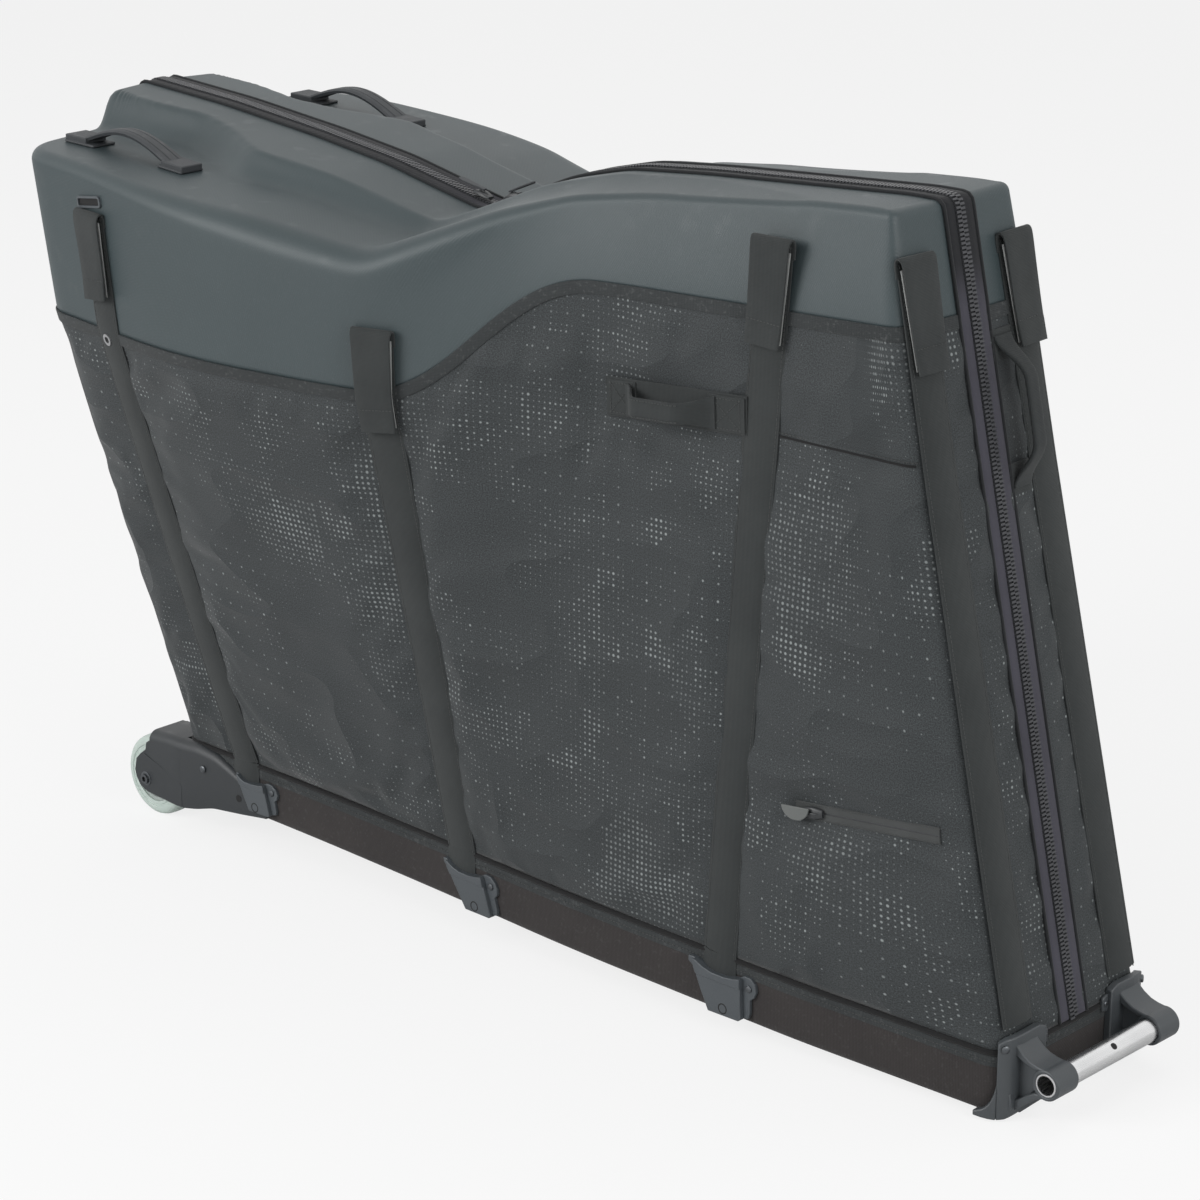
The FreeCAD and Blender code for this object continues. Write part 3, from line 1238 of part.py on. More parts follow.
doc.recompute()
tilt = math.radians(size("stand_tilt"))
turned = FreeCAD.Rotation(Vector(0, 1, 0), size("stand_tilt"))
whole_box = FreeCAD.BoundBox()
for piece in nodes:
    shape = piece.Shape.copy()
    shape.Placement = FreeCAD.Placement(Vector(0, 0, 0), turned).multiply(shape.Placement)
    whole_box.add(shape.optimalBoundingBox(False))
floor_height = math.cos(tilt) * size("wheel_z") - math.sin(tilt) * size("wheel_x") - size("wheel_radius")
middle = (whole_box.XMin + whole_box.XMax) / 2
standing = FreeCAD.Placement(Vector(-middle, 0, -floor_height), turned)
for piece in nodes:
    if piece.TypeId != "Part::Mirroring":
        piece.Placement = standing
doc.recompute()


# Check and write

for item in doc.Objects:
    if "Invalid" in item.State or "Error" in item.State:
        raise RuntimeError("failed: " + item.Label)
os.makedirs("parts", exist_ok=True)
for piece in nodes:
    shape = piece.Shape
    if shape.isNull() or not shape.isValid() or not shape.Solids:
        raise RuntimeError("no valid solid: " + piece.Label)
for piece in nodes:
    piece.Shape.exportStep("parts/%s.step" % piece.Label)
print("%d pieces written" % len(nodes))
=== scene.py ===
# %% [markdown]
# # A travel case for a bicycle
# The imported CAD model gives the bodies, the joints and every place on the case. This lesson dresses
# it: each cell makes one piece or one finish of the real object. The frame is loaded first.

# %% Load the imported frame
import math

import bmesh
import bpy
import numpy as np
from mathutils import Matrix, Vector


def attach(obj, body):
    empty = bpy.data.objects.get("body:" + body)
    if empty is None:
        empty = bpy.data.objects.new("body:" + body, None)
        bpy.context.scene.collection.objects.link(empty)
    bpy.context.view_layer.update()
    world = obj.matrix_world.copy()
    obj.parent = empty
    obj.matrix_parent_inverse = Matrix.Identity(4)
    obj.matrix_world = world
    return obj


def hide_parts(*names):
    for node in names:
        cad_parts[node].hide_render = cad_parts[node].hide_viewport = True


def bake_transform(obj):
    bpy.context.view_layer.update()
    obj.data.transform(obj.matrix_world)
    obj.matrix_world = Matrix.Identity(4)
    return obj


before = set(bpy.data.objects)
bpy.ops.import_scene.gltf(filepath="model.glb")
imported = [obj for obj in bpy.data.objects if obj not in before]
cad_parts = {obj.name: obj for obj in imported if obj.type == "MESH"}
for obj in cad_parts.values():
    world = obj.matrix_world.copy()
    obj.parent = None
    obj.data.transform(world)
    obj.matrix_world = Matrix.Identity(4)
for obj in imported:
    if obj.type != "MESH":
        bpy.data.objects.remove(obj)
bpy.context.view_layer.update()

# %% [markdown]
# ## Drawing level, standing tilted
# The real case stands a little nose up, on wheels that are larger than its feet. It is far easier to
# draw it with a level base, in millimetres, and to tip all points at the end. `stand` does that tip,
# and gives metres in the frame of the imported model.

# %% From the drawing to the standing case
TILT = math.radians(2.03)
SET_BACK = 543.24
SET_UP = 42.98


def turned(points):
    """Tips directions or points of the level drawing by the standing angle."""
    points = np.asarray(points, float)
    x, y, z = points[..., 0], points[..., 1], points[..., 2]
    along = math.cos(TILT) * x + math.sin(TILT) * z
    high = math.cos(TILT) * z - math.sin(TILT) * x
    return np.stack([along, y, high], -1)


def stand(points):
    """Millimetres of the level drawing to metres of the standing case."""
    return (turned(points) + (-SET_BACK, 0, SET_UP)) / 1000


print("base corner stands at", stand([0, 0, 0]).round(4))

# %% [markdown]
# ## The camera
# A long lens from the corner of the tube handle end, looking down about nineteen degrees. The view
# was found by lining up the case's corners with the photograph, so its axes are written in the level
# drawing and tipped with everything else.

# %% Place the camera
CAMERA_SPOT = (2868.6, -2418.3, 1492.9)
CAMERA_TURN = math.radians(43.92)
CAMERA_DIP = math.radians(19.12)
lens = bpy.data.cameras.new("studio_camera")
lens.lens = 105
lens.sensor_width = 36
camera = bpy.data.objects.new("studio_camera", lens)
bpy.context.scene.collection.objects.link(camera)
right = np.array([math.cos(CAMERA_TURN), math.sin(CAMERA_TURN), 0])
away = np.array([
    -math.sin(CAMERA_TURN) * math.cos(CAMERA_DIP),
    math.cos(CAMERA_TURN) * math.cos(CAMERA_DIP),
    -math.sin(CAMERA_DIP),
])
upward = np.cross(right, away)
axes = turned([right, upward, -away]).T
camera.matrix_world = Matrix.Translation(stand(CAMERA_SPOT)) @ Matrix(axes.tolist()).to_4x4()
bpy.context.scene.camera = camera
print("camera at", stand(CAMERA_SPOT).round(3))

# %% [markdown]
# ## Writing shader maths
# A finish is a small tree of nodes. Wiring it by hand hides the idea, so one class wraps a socket and
# lets sums and products of sockets read like sums and products. Its `node` method adds any other node.


# %% The shader class
class Shade:
    """A socket in a tree of nodes that takes part in Python expressions."""

    def __init__(self, tree, socket=None):
        self.tree = tree
        self.socket = socket

    def node(self, kind, settings=None, values=None, out=0):
        """Adds a node: its settings first, then the values or links of its sockets."""
        made = self.tree.nodes.new(kind)
        for key, value in (settings or {}).items():
            setattr(made, key, value)
        for key, value in (values or {}).items():
            if isinstance(value, Shade):
                self.tree.links.new(value.socket, made.inputs[key])
            else:
                made.inputs[key].default_value = value
        return Shade(self.tree, made.outputs[out])

    def maths(self, operation, first, second=0.0):
        return self.node("ShaderNodeMath", {"operation": operation}, {0: first, 1: second})

    def __add__(self, other):
        return self.maths("ADD", self, other)

    def __radd__(self, other):
        return self.maths("ADD", other, self)

    def __sub__(self, other):
        return self.maths("SUBTRACT", self, other)

    def __rsub__(self, other):
        return self.maths("SUBTRACT", other, self)

    def __mul__(self, other):
        return self.maths("MULTIPLY", self, other)

    def __rmul__(self, other):
        return self.maths("MULTIPLY", other, self)

    def __truediv__(self, other):
        return self.maths("DIVIDE", self, other)

    def wave(self, period):
        """A ripple from 0 to 1 whose period is in metres."""
        return self.maths("SINE", self * (2 * math.pi / period)) * 0.5 + 0.5

    def step(self, low, high):
        """0 below low, 1 above high, soft between."""
        settings = {"interpolation_type": "SMOOTHSTEP"}
        return self.node("ShaderNodeMapRange", settings, {"Value": self, "From Min": low, "From Max": high})


def tone(red, green, blue):
    """A colour as a picture shows it, from 0 to 255, as the shader wants it."""
    parts = np.array([red, green, blue]) / 255
    linear = np.where(parts <= 0.04045, parts / 12.92, ((parts + 0.055) / 1.055) ** 2.4)
    return (*linear.tolist(), 1)


def blend_tones(amount, first, second):
    """Mixes two colours, the second where the amount is 1."""
    settings = {"data_type": "RGBA"}
    return amount.node("ShaderNodeMix", settings, {0: amount, 6: first, 7: second}, 2)


def open_finish(name):
    """A new material with nothing but its output; gives the start of its tree."""
    material = bpy.data.materials.new(name)
    material.use_nodes = True
    material.node_tree.nodes.clear()
    return material, Shade(material.node_tree)


def close_finish(material, start, colour, roughness, height=None, depth=0.0002, fixed=None):
    """Ends a finish in one glossy shader; height from 0 to 1 times depth in metres is its bump."""
    values = {"Base Color": colour, "Roughness": roughness}
    values.update(fixed or {})
    if height is not None:
        bump = {"Height": height, "Distance": depth, "Strength": 1.0}
        values["Normal"] = start.node("ShaderNodeBump", {}, bump)
    shader = start.node("ShaderNodeBsdfPrincipled", {}, values)
    output = start.tree.nodes.new("ShaderNodeOutputMaterial")
    start.tree.links.new(shader.socket, output.inputs["Surface"])
    return material


def noise(start, place, scale, detail=3.0):
    """Cloudy noise from about 0 to 1; a larger scale is finer."""
    return start.node("ShaderNodeTexNoise", {}, {"Vector": place, "Scale": scale, "Detail": detail}, "Fac")


def object_place(start):
    """The place on the piece in its own coordinates, in metres."""
    return start.node("ShaderNodeTexCoord", {}, {}, "Object")


def split(place):
    """The three parts of a vector."""
    return [place.node("ShaderNodeSeparateXYZ", {}, {"Vector": place}, out) for out in "XYZ"]


print("shader class ready")

# %% [markdown]
# ## Hard shell
# The top shells are pressed sheet with a fine grain, matt and slightly blue. A photograph would give
# the colour only under one lamp, so the finish is built from noise: broad cloudy change in the colour,
# a fine two-way grain in the bump, and small scuffs that change the gloss.

# %% Finish of the shells
material, start = open_finish("shell_finish")
place = object_place(start)
x, y, z = split(place)
cloud = noise(start, place, 5.0)
grain = (x + y + z * 0.35).wave(0.0021) * 0.5 + (x - y - z * 0.35).wave(0.0021) * 0.5
fine = noise(start, place, 900.0, 2.0)
colour = blend_tones(cloud, tone(54, 63.5, 66), tone(63, 73.5, 76))
speck = blend_tones(fine.step(0.55, 0.75) * 0.2, colour, tone(98, 106, 110))
scuff = noise(start, place, 38.0, 5.0).step(0.58, 0.74)
shell_finish = close_finish(
    material, start, speck, 0.43 - scuff * 0.07 + fine * 0.06, grain * 0.6 + fine * 0.4, 0.0002,
    {"Specular IOR Level": 0.4})
print("made", shell_finish.name)

# %% [markdown]
# ## Printed fabric
# The side panels are woven nylon with a print of halftone dots: pale dots on a charcoal ground, in
# angular patches, each with dots of about one size, and every third dot alone between the patches.
# Every dot has to keep one size, so the dot's own cell number, not the point inside it, is what looks
# up the patch. The cloth's UV map is in metres, so the dots follow the cloth round the corners. The
# thread shows as a fine slub, and soft creases that are smaller than the panel's grid are left to the
# bump.

# %% Finish of the side panels
DOT_PITCH = 0.0058


def rounded_cells(start, u, v):
    """The number of the dot cell that a point lies in, as a vector."""
    across = start.maths("FLOOR", u)
    upward = start.maths("FLOOR", v)
    return start.node("ShaderNodeCombineXYZ", {}, {"X": across, "Y": upward})


def dot_mask(start, u, v, radius):
    """1 inside a round dot in the middle of each cell."""
    side = start.maths("FRACT", u) - 0.5
    rise = start.maths("FRACT", v) - 0.5
    reach = start.maths("SQRT", side * side + rise * rise)
    return 1 - (reach - radius).step(-0.09, 0.09)


def patch_of(start, cells, scale):
    """A chance number that is the same all over an angular patch of dots."""
    settings = {"distance": "CHEBYCHEV", "feature": "F1"}
    patch = start.node("ShaderNodeTexVoronoi", settings, {"Vector": cells, "Scale": scale}, "Color")
    return start.node("ShaderNodeSeparateColor", {}, {"Color": patch}, "Red")


def every_third(start, number):
    """1 in every third cell along one direction."""
    part = start.maths("FRACT", start.maths("FLOOR", number) / 3 + 0.01)
    return start.maths("LESS_THAN", part, 0.2)


material, start = open_finish("printed_fabric_finish")
cloth_map = start.node("ShaderNodeTexCoord", {}, {}, "UV")
u, v = split(cloth_map)[:2]
column = u / DOT_PITCH
line = v / DOT_PITCH
cells = rounded_cells(start, column, line)
large = patch_of(start, cells, 0.058)
small = patch_of(start, cells, 0.17)
drift = noise(start, cells, 0.022, 2.0)
chance = start.node("ShaderNodeTexWhiteNoise", {"noise_dimensions": "2D"}, {"Vector": cells}, "Value")
cover = (large * 0.32 + small * 0.22 + drift * 1.6 + chance * 0.2 - 1.03).step(0.0, 0.55)
thin_patch = noise(start, cells, 0.034, 1.0).step(0.4, 0.56)
alone = every_third(start, column) * every_third(start, line) * thin_patch
dot_radius = start.maths("MAXIMUM", cover * 0.26 - 0.01, alone * (0.14 + chance * 0.07))
dots = dot_mask(start, column, line, dot_radius)
slub = noise(start, cloth_map, 760.0, 2.0).step(0.28, 0.72)
worn = noise(start, cloth_map, 9.0, 4.0)
ground = blend_tones(worn, tone(28.5, 31.5, 32.5), tone(37, 40, 41))
ground = blend_tones(slub, ground, tone(60.5, 65, 67))
ink = dots * (0.17 + chance * 0.17 + small.step(0.4, 1.0) * 0.25)
printed = blend_tones(ink, ground, tone(170, 177, 177))
stretched = start.node("ShaderNodeMapping", {}, {"Vector": cloth_map, "Scale": (0.65, 1.2, 1.0)})
fold = noise(start, stretched, 8.0, 1.3)
crease = 1 - start.maths("ABSOLUTE", fold * 2 - 1)
printed_fabric_finish = close_finish(
    material, start, printed, 0.74 - dots * 0.16, crease * crease + slub * 0.006, 0.011,
    {"Sheen Weight": 0.1, "Sheen Roughness": 0.5, "Specular IOR Level": 0.35})
print("made", printed_fabric_finish.name)

# %% [markdown]
# ## Webbing, binding and zip cloth
# All of these are narrow woven tapes of dark thread. They differ in tone and in the size of the ribs,
# so one function makes them. The ribs come from crossed ripples in the object's own coordinates: they
# stay the same size on every tape, whichever way it runs.


# %% Finishes of the tapes
def woven_finish(name, dark, pale, rib, depth, speckle=0.0, above=None):
    """A woven tape; above is the tone it turns to on the top of the case."""
    material, start = open_finish(name)
    place = object_place(start)
    x, y, z = split(place)
    cross = (x + y).wave(rib) * 0.5 + z.wave(rib * 0.8) * 0.5
    fuzz = noise(start, place, 260.0, 3.0)
    wear = noise(start, place, 14.0, 4.0)
    colour = blend_tones((wear * 0.6 + cross * 0.4).step(0.2, 0.8), dark, pale)
    if above:
        colour = blend_tones(z.step(0.72, 0.77), colour, above)
    bright = fuzz.step(0.55, 0.72) * speckle
    colour = blend_tones(bright, colour, tone(150, 152, 152))
    height = cross * 0.8 + fuzz * 0.2
    return close_finish(material, start, colour, 0.78 + fuzz * 0.12, height, depth,
                        {"Sheen Weight": 0.1, "Sheen Roughness": 0.5, "Specular IOR Level": 0.25})


webbing_finish = woven_finish("webbing_finish", tone(43, 46, 46.5), tone(58, 61, 61), 0.0016, 0.0004)
loop_finish = woven_finish("loop_finish", tone(42, 45, 46), tone(57, 60, 60), 0.0016, 0.0004)
binding_finish = woven_finish("binding_finish", tone(42, 45, 46), tone(58, 61, 62), 0.0019, 0.0004, 0.12)
zip_cloth_finish = woven_finish("zip_cloth_finish", tone(58, 57, 65), tone(74, 73, 82), 0.0012, 0.0003,
                                above=tone(30, 31, 34))
piping_finish = woven_finish("piping_finish", tone(26, 27, 29), tone(40, 42, 44), 0.0014, 0.0003)
base_cloth_finish = woven_finish(
    "base_cloth_finish", tone(42, 39, 39), tone(56, 52, 51), 0.0018, 0.0004, 0.05)
# Painted shade: this near-black tape tone stands for the deep shade in the gap under the panel's lower edge
# and in the pocket's pleat.
painted_gap_shade_finish = woven_finish("painted_gap_shade_finish", tone(17, 17, 18), tone(26, 26, 27), 0.0014, 0.0003)
lining_finish = woven_finish("lining_finish", tone(132, 134, 134), tone(154, 156, 154), 0.0014, 0.0002)
inside_finish = woven_finish("inside_finish", tone(38, 39, 41), tone(48, 49, 51), 0.0022, 0.0003)
thread_finish = woven_finish("thread_finish", tone(58, 60, 60), tone(76, 78, 78), 0.0009, 0.0002)
print("tape finishes made")

# %% [markdown]
# ## Moulded plastics
# Sockets, brackets, wheel housings and handle caps are moulded nylon: dark grey, spark-eroded grain, a
# little polished where hands and kerbs rub them. One function gives the grain; the tone and the gloss
# are its values.


# %% Finishes of the mouldings
def moulded_finish(name, dark, pale, gloss, depth, fixed=None):
    """A grained plastic; gloss is its roughness and depth the height of its grain."""
    material, start = open_finish(name)
    place = object_place(start)
    grain = noise(start, place, 1300.0, 2.0)
    cloud = noise(start, place, 11.0, 4.0)
    rub = noise(start, place, 60.0, 5.0).step(0.56, 0.72)
    colour = blend_tones(cloud, dark, pale)
    return close_finish(material, start, colour, gloss - rub * 0.08 + grain * 0.08, grain, depth, fixed)


moulded_finish_grey = moulded_finish("moulded_grey", tone(33, 36, 39), tone(43, 47, 50), 0.42, 0.0002)
socket_finish = moulded_finish("socket_grey", tone(64, 69, 73), tone(78, 83, 87), 0.4, 0.0002)
bracket_finish = moulded_finish("bracket_grey", tone(60, 64, 67), tone(73, 77, 80), 0.4, 0.0002)
grip_finish = moulded_finish("grip_rubber", tone(44, 47, 50), tone(58, 61, 64), 0.55, 0.0003)
slider_finish = moulded_finish("slider_metal", tone(40, 42, 44), tone(60, 62, 64), 0.38, 0.0001)
puller_finish = moulded_finish("puller_grey", tone(88, 91, 90), tone(106, 109, 107), 0.45, 0.0002)
teeth_finish = moulded_finish("teeth_black", tone(46, 47, 50), tone(70, 71, 75), 0.32, 0.0001)
rod_finish = moulded_finish("rod_plastic", tone(150, 152, 150), tone(172, 174, 172), 0.45, 0.0001)
board_finish = moulded_finish("board_grey", tone(70, 70, 70), tone(86, 86, 86), 0.6, 0.0002)
foam_finish = moulded_finish("foam_black", tone(40, 40, 42), tone(54, 54, 56), 0.9, 0.0005)
# Painted shade: this near black goes on thin discs and rings that stand for holes, slots and dimples, in
# place of the shade inside them.
painted_hole_shade_finish = moulded_finish("painted_shade_black", tone(14, 14, 15), tone(20, 20, 21), 0.8, 0.0001)
tyre_finish = moulded_finish(
    "tyre_clear", tone(176, 190, 184), tone(200, 211, 204), 0.34, 0.0002,
    {"Subsurface Weight": 0.25, "Subsurface Radius": (0.012, 0.014, 0.013), "Subsurface Scale": 0.6})
core_finish = moulded_finish("core_grey", tone(150, 158, 155), tone(172, 180, 176), 0.42, 0.0002)
print("moulded finishes made")

# %% [markdown]
# ## Metals
# The tube handle is drawn aluminium, brushed along its length; bolts and rivets are plain steel. Fine
# lines along the tube come from noise that is squeezed across it and long along it.


# %% Finishes of the metals
def metal_finish(name, dark, pale, gloss, stretch):
    """A bare metal; stretch squeezes its fine lines along each axis."""
    material, start = open_finish(name)
    place = object_place(start)
    drawn = start.node("ShaderNodeMapping", {}, {"Vector": place, "Scale": stretch})
    lines = noise(start, drawn, 60.0, 4.0)
    cloud = noise(start, place, 25.0, 3.0)
    colour = blend_tones(cloud, dark, pale)
    return close_finish(material, start, colour, gloss + lines * 0.14, lines, 0.00006, {"Metallic": 1.0})


bright_finish = metal_finish("bright_tube", tone(205, 206, 207), tone(228, 228, 228), 0.2, (40, 1, 40))
dark_steel_finish = metal_finish("dark_steel", tone(84, 87, 90), tone(104, 107, 110), 0.36, (20, 20, 20))
steel_finish = metal_finish("steel", tone(150, 151, 153), tone(182, 183, 184), 0.28, (20, 20, 20))
print("metal finishes made")

# %% [markdown]
# ## From points to pieces
# Most pieces here are grids of points: a strip of cloth, a wall, a tape. These helpers turn points and
# faces into an object, make the mirrored twin for the far half, and tell the frame which body the piece
# rides on and which CAD solid it stands for.


# %% Helpers for pieces
def make_piece(name, points, faces, finish, sharp=None):
    """An object at the origin from points of the level drawing."""
    mesh = bpy.data.meshes.new(name)
    mesh.from_pydata(stand(points).tolist(), [], faces)
    mesh.materials.append(finish)
    mesh.polygons.foreach_set("use_smooth", [True] * len(mesh.polygons))
    if sharp is not None:
        mesh.set_sharp_from_angle(angle=math.radians(sharp))
    mesh.update()
    piece = bpy.data.objects.new(name, mesh)
    bpy.context.scene.collection.objects.link(piece)
    return piece


def mirrored(points, faces):
    """The far half's twin: the same points across the zip plane, faces turned round again."""
    return np.asarray(points, float) * (1, -1, 1), [tuple(reversed(face)) for face in faces]


def outward(points, faces):
    """Turns the faces of closed solids so that they all point outwards."""
    work = bmesh.new()
    corners = [work.verts.new(point) for point in np.asarray(points, float).tolist()]
    for face in faces:
        work.faces.new([corners[index] for index in face])
    bmesh.ops.recalc_face_normals(work, faces=work.faces)
    work.verts.index_update()
    turned_faces = [tuple(corner.index for corner in face.verts) for face in work.faces]
    work.free()
    return turned_faces


def together(*solids):
    """Several solids as one list of points and one list of faces."""
    points = []
    faces = []
    for some_points, some_faces in solids:
        shift = sum(len(part) for part in points)
        points.append(np.asarray(some_points, float).reshape(-1, 3))
        faces += [tuple(index + shift for index in face) for face in some_faces]
    return np.concatenate(points), faces


def dress(piece, body, slot, *nodes):
    """Tells the frame the piece's body and the CAD nodes that it stands for; slot is not used."""
    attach(piece, body)
    if nodes:
        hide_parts(*nodes)
    return piece


def both_sides(name, points, faces, finish, slot, node=None, body="half", sharp=None):
    """A piece for the near side and its twin for the far side; gives both."""
    made = []
    for side in ("near", "far"):
        if side == "far":
            points, faces = mirrored(points, faces)
        piece = make_piece(side + "_" + name, points, faces, finish, sharp)
        rider = "base" if body == "base" else side + "_" + body
        made.append(dress(piece, rider, slot, *([side + "_" + node] if node else [])))
    return made


def grid_faces(columns, rows, ring=False):
    """Quads of a grid of points that is stored column by column."""
    faces = []
    last = columns if ring else columns - 1
    for column in range(last):
        after = (column + 1) % columns
        for row in range(rows - 1):
            here = column * rows + row
            there = after * rows + row
            faces.append((here, there, there + 1, here + 1))
    return faces


def closing_faces(count, rows):
    """Quads that join the last row of a ring of columns to its first row."""
    faces = []
    for column in range(count):
        after = (column + 1) % count
        faces.append((column * rows + rows - 1, after * rows + rows - 1, after * rows, column * rows))
    return faces


def end_faces(count, rows):
    """The first and the last row of a ring of columns, each as one face."""
    return [tuple(column * rows + row for column in range(count)) for row in (0, rows - 1)]


def sweep(path, across, out, section):
    """A closed bar: the section's (across, out) points carried along the path, with both ends shut."""
    path, across, out = (np.asarray(part, float) for part in (path, across, out))
    section = np.asarray(section, float)
    if section.ndim == 2:
        section = np.repeat(section[None], len(path), 0)
    sides = section[..., :1] * across[:, None] + section[..., 1:] * out[:, None]
    points = path[:, None] + sides
    steps, corners = points.shape[:2]
    faces = []
    for step in range(steps - 1):
        for corner in range(corners):
            after = (corner + 1) % corners
            faces.append((step * corners + corner, step * corners + after,
                          (step + 1) * corners + after, (step + 1) * corners + corner))
    faces.append(tuple(range(corners)))
    faces.append(tuple(range((steps - 1) * corners, steps * corners)))
    points = points.reshape(-1, 3)
    return points, outward(points, faces)


def tape_section(wide, thick, lift=0.0, soft=None):
    """A flat tape across its width, with rounded edges and a row of points along its faces."""
    soft = min(thick * 0.45, 1.2) if soft is None else soft
    half = wide / 2
    flat = np.linspace(-half + soft, half - soft, 5)
    top = [(a, lift + thick) for a in flat]
    low = [(a, lift) for a in flat[::-1]]
    right_edge = [(half - soft * 0.3, lift + thick - soft * 0.3), (half, lift + thick - soft),
                  (half, lift + soft), (half - soft * 0.3, lift + soft * 0.3)]
    left_edge = [(-a, b) for a, b in reversed(right_edge)]
    return top + right_edge + low + left_edge


def unit(vectors):
    """Vectors of length one."""
    vectors = np.asarray(vectors, float)
    return vectors / np.maximum(np.linalg.norm(vectors, axis=-1, keepdims=True), 1e-9)


def resampled(line, marks):
    """A line of points read at places that are counted in its own steps."""
    steps = np.arange(len(line))
    return np.stack([np.interp(marks, steps, line[:, axis]) for axis in range(3)], -1)


print("helpers ready")

# %% [markdown]
# ## The wall of a half
# Each half is one wall that leans and bulges: narrow and straight at the base, a wide lobe at the wheel
# end further up, a narrow hump at the tube end. The wall is drawn as three outlines in plan, at the
# base, at the shell's lower edge and at the crown, all with the same number of points. Any point of the
# wall is then a column along the outlines and a height between them.

# %% Outlines of the wall
LEVELS = np.array([66.4, 565.0, 745.0])
STATIONS = np.array([
    [0, 187, 422, 617, 912, 1147],
    [-80, 187, 422, 617, 912, 1030],
    [-102, 187, 422, 617, 912, 990],
], float)
HALF_WIDTHS = np.array([
    [110, 108, 113, 121, 119, 107],
    [212, 246, 203, 118, 104, 99],
    [222, 250, 198, 113, 100, 96],
], float)
WHEEL_BOW = (0, 40, 40)
TAIL_BOW = (0, 5, 5)
CORNER_RUNS = ((28, 90, 90, 80, 35, 22), (46, 90, 90, 80, 35, 22), (46, 90, 90, 80, 35, 22))
STRAIGHT_COUNTS = (16, 14, 6, 4, 13, 4, 10)
CORNER_COUNTS = (10, 18, 18, 16, 7, 7)
ZIP_SLOT = 12.0


def outline(level):
    """The near half's outline at one level, as (x, half-width) from the wheel end to the tube end."""
    stations, halves = STATIONS[level], HALF_WIDTHS[level]
    spots = [np.array(spot) for spot in zip(stations, halves)]
    share = ZIP_SLOT / halves[0]
    spots.insert(0, np.array([stations[0] - WHEEL_BOW[level] * (1 - share), ZIP_SLOT]))
    share = ZIP_SLOT / halves[-1]
    spots.append(np.array([stations[-1] + TAIL_BOW[level] * (1 - share), ZIP_SLOT]))
    line = []
    leave = spots[0]
    for corner in range(1, 7):
        spot = spots[corner]
        run = CORNER_RUNS[level][corner - 1]
        enter = spot + unit(spots[corner - 1] - spot) * run
        after = spot + unit(spots[corner + 1] - spot) * run
        for share in np.arange(STRAIGHT_COUNTS[corner - 1]) / STRAIGHT_COUNTS[corner - 1]:
            line.append(leave + (enter - leave) * share)
        for share in np.arange(CORNER_COUNTS[corner - 1]) / CORNER_COUNTS[corner - 1]:
            line.append(enter * (1 - share) ** 2 + spot * 2 * share * (1 - share) + after * share ** 2)
        leave = after
    for share in np.arange(STRAIGHT_COUNTS[6] + 1) / STRAIGHT_COUNTS[6]:
        line.append(leave + (spots[7] - leave) * share)
    return np.array(line)


OUTLINES = np.stack([outline(level) for level in range(3)])
COLUMNS = OUTLINES.shape[1]
FIRST_SIDE = STRAIGHT_COUNTS[0] + CORNER_COUNTS[0]
LAST_SIDE = COLUMNS - 1 - STRAIGHT_COUNTS[6] - CORNER_COUNTS[5]


def wall(column, z):
    """Points of the near wall at columns (fractions allowed) and heights."""
    column, z = np.broadcast_arrays(np.asarray(column, float), np.asarray(z, float))
    column = np.clip(column, 0, COLUMNS - 1)
    low = np.minimum(column.astype(int), COLUMNS - 2)
    part = (column - low)[..., None]
    lines = OUTLINES[:, low] * (1 - part) + OUTLINES[:, low + 1] * part
    lower = np.clip((z - LEVELS[0]) / (LEVELS[1] - LEVELS[0]), 0, 1)[..., None]
    upper = np.maximum((z - LEVELS[1]) / (LEVELS[2] - LEVELS[1]), 0)[..., None]
    plan = lines[0] + (lines[1] - lines[0]) * lower + (lines[2] - lines[1]) * upper
    return np.stack([plan[..., 0], -plan[..., 1], z], -1)


def wall_frame(column, z):
    """Points of the wall with the directions along it, up it and out of it."""
    here = wall(column, z)
    along = unit(wall(np.asarray(column) + 0.5, z) - wall(np.asarray(column) - 0.5, z))
    up = unit(wall(column, np.asarray(z) + 2.0) - wall(column, np.asarray(z) - 2.0))
    out = unit(np.cross(along, up))
    return here, along, np.cross(out, along), out


def side_column(x, z):
    """The column where the long side passes a place x at height z."""
    span = np.arange(FIRST_SIDE, LAST_SIDE + 1)
    pairs = zip(np.atleast_1d(x), np.atleast_1d(z))
    result = [np.interp(a, wall(span, b)[:, 0], span) for a, b in pairs]
    return np.array(result)


def tail_column(half, z):
    """The column where the tube end face passes a distance from the zip plane at height z."""
    span = np.arange(COLUMNS - 1, LAST_SIDE + 2, -1)
    pairs = zip(np.atleast_1d(half), np.atleast_1d(z))
    result = [np.interp(a, -wall(span, b)[:, 1], span) for a, b in pairs]
    return np.array(result)


print("wall columns", COLUMNS)

# %% [markdown]
# ## Shells
# A shell is the upper part of the wall, a rounded shoulder, and a top with a raised ridge along the
# zip. Its lower edge runs level below the lobe, climbs in a wave and goes on along the hump. One grid
# makes all three: rows up the wall, rows round the shoulder, rows across the top to the zip slot. The
# crest's heights are smoothed, because pressed sheet has no kinks.

# %% Lines of the shell
CREST_X = (-180, 2, 145, 253, 399, 526, 602, 702, 945, 1140)
RIDGE_Z = (776, 766, 753, 740, 712, 766, 785, 795, 813, 813)
SIDE_Z = (738, 736, 727.5, 720, 700, 752, 774, 788, 808, 808)
RIDGE_X = (-180, -50, 20, 75, 150, 260, 400, 526, 602, 740, 860, 960, 1140)
RIDGE_HALF = (76, 76, 66, 80, 112, 98, 90, 62, 42, 40, 70, 130, 130)
FLANK_X = (-180, 420, 580, 1140)
FLANK = (32, 32, 80, 80)
ROUND_X = (-180, 60, 300, 440, 600, 860, 1140)
ROUNDING = (12, 14, 28, 24, 11, 9, 9)
LEAN_X = (-180, 420, 600, 800, 960, 1140)
LEAN = (0, 0, 15, 14, 9, 5)
SOFTEN = 26
SOFTEN_LONG = 60


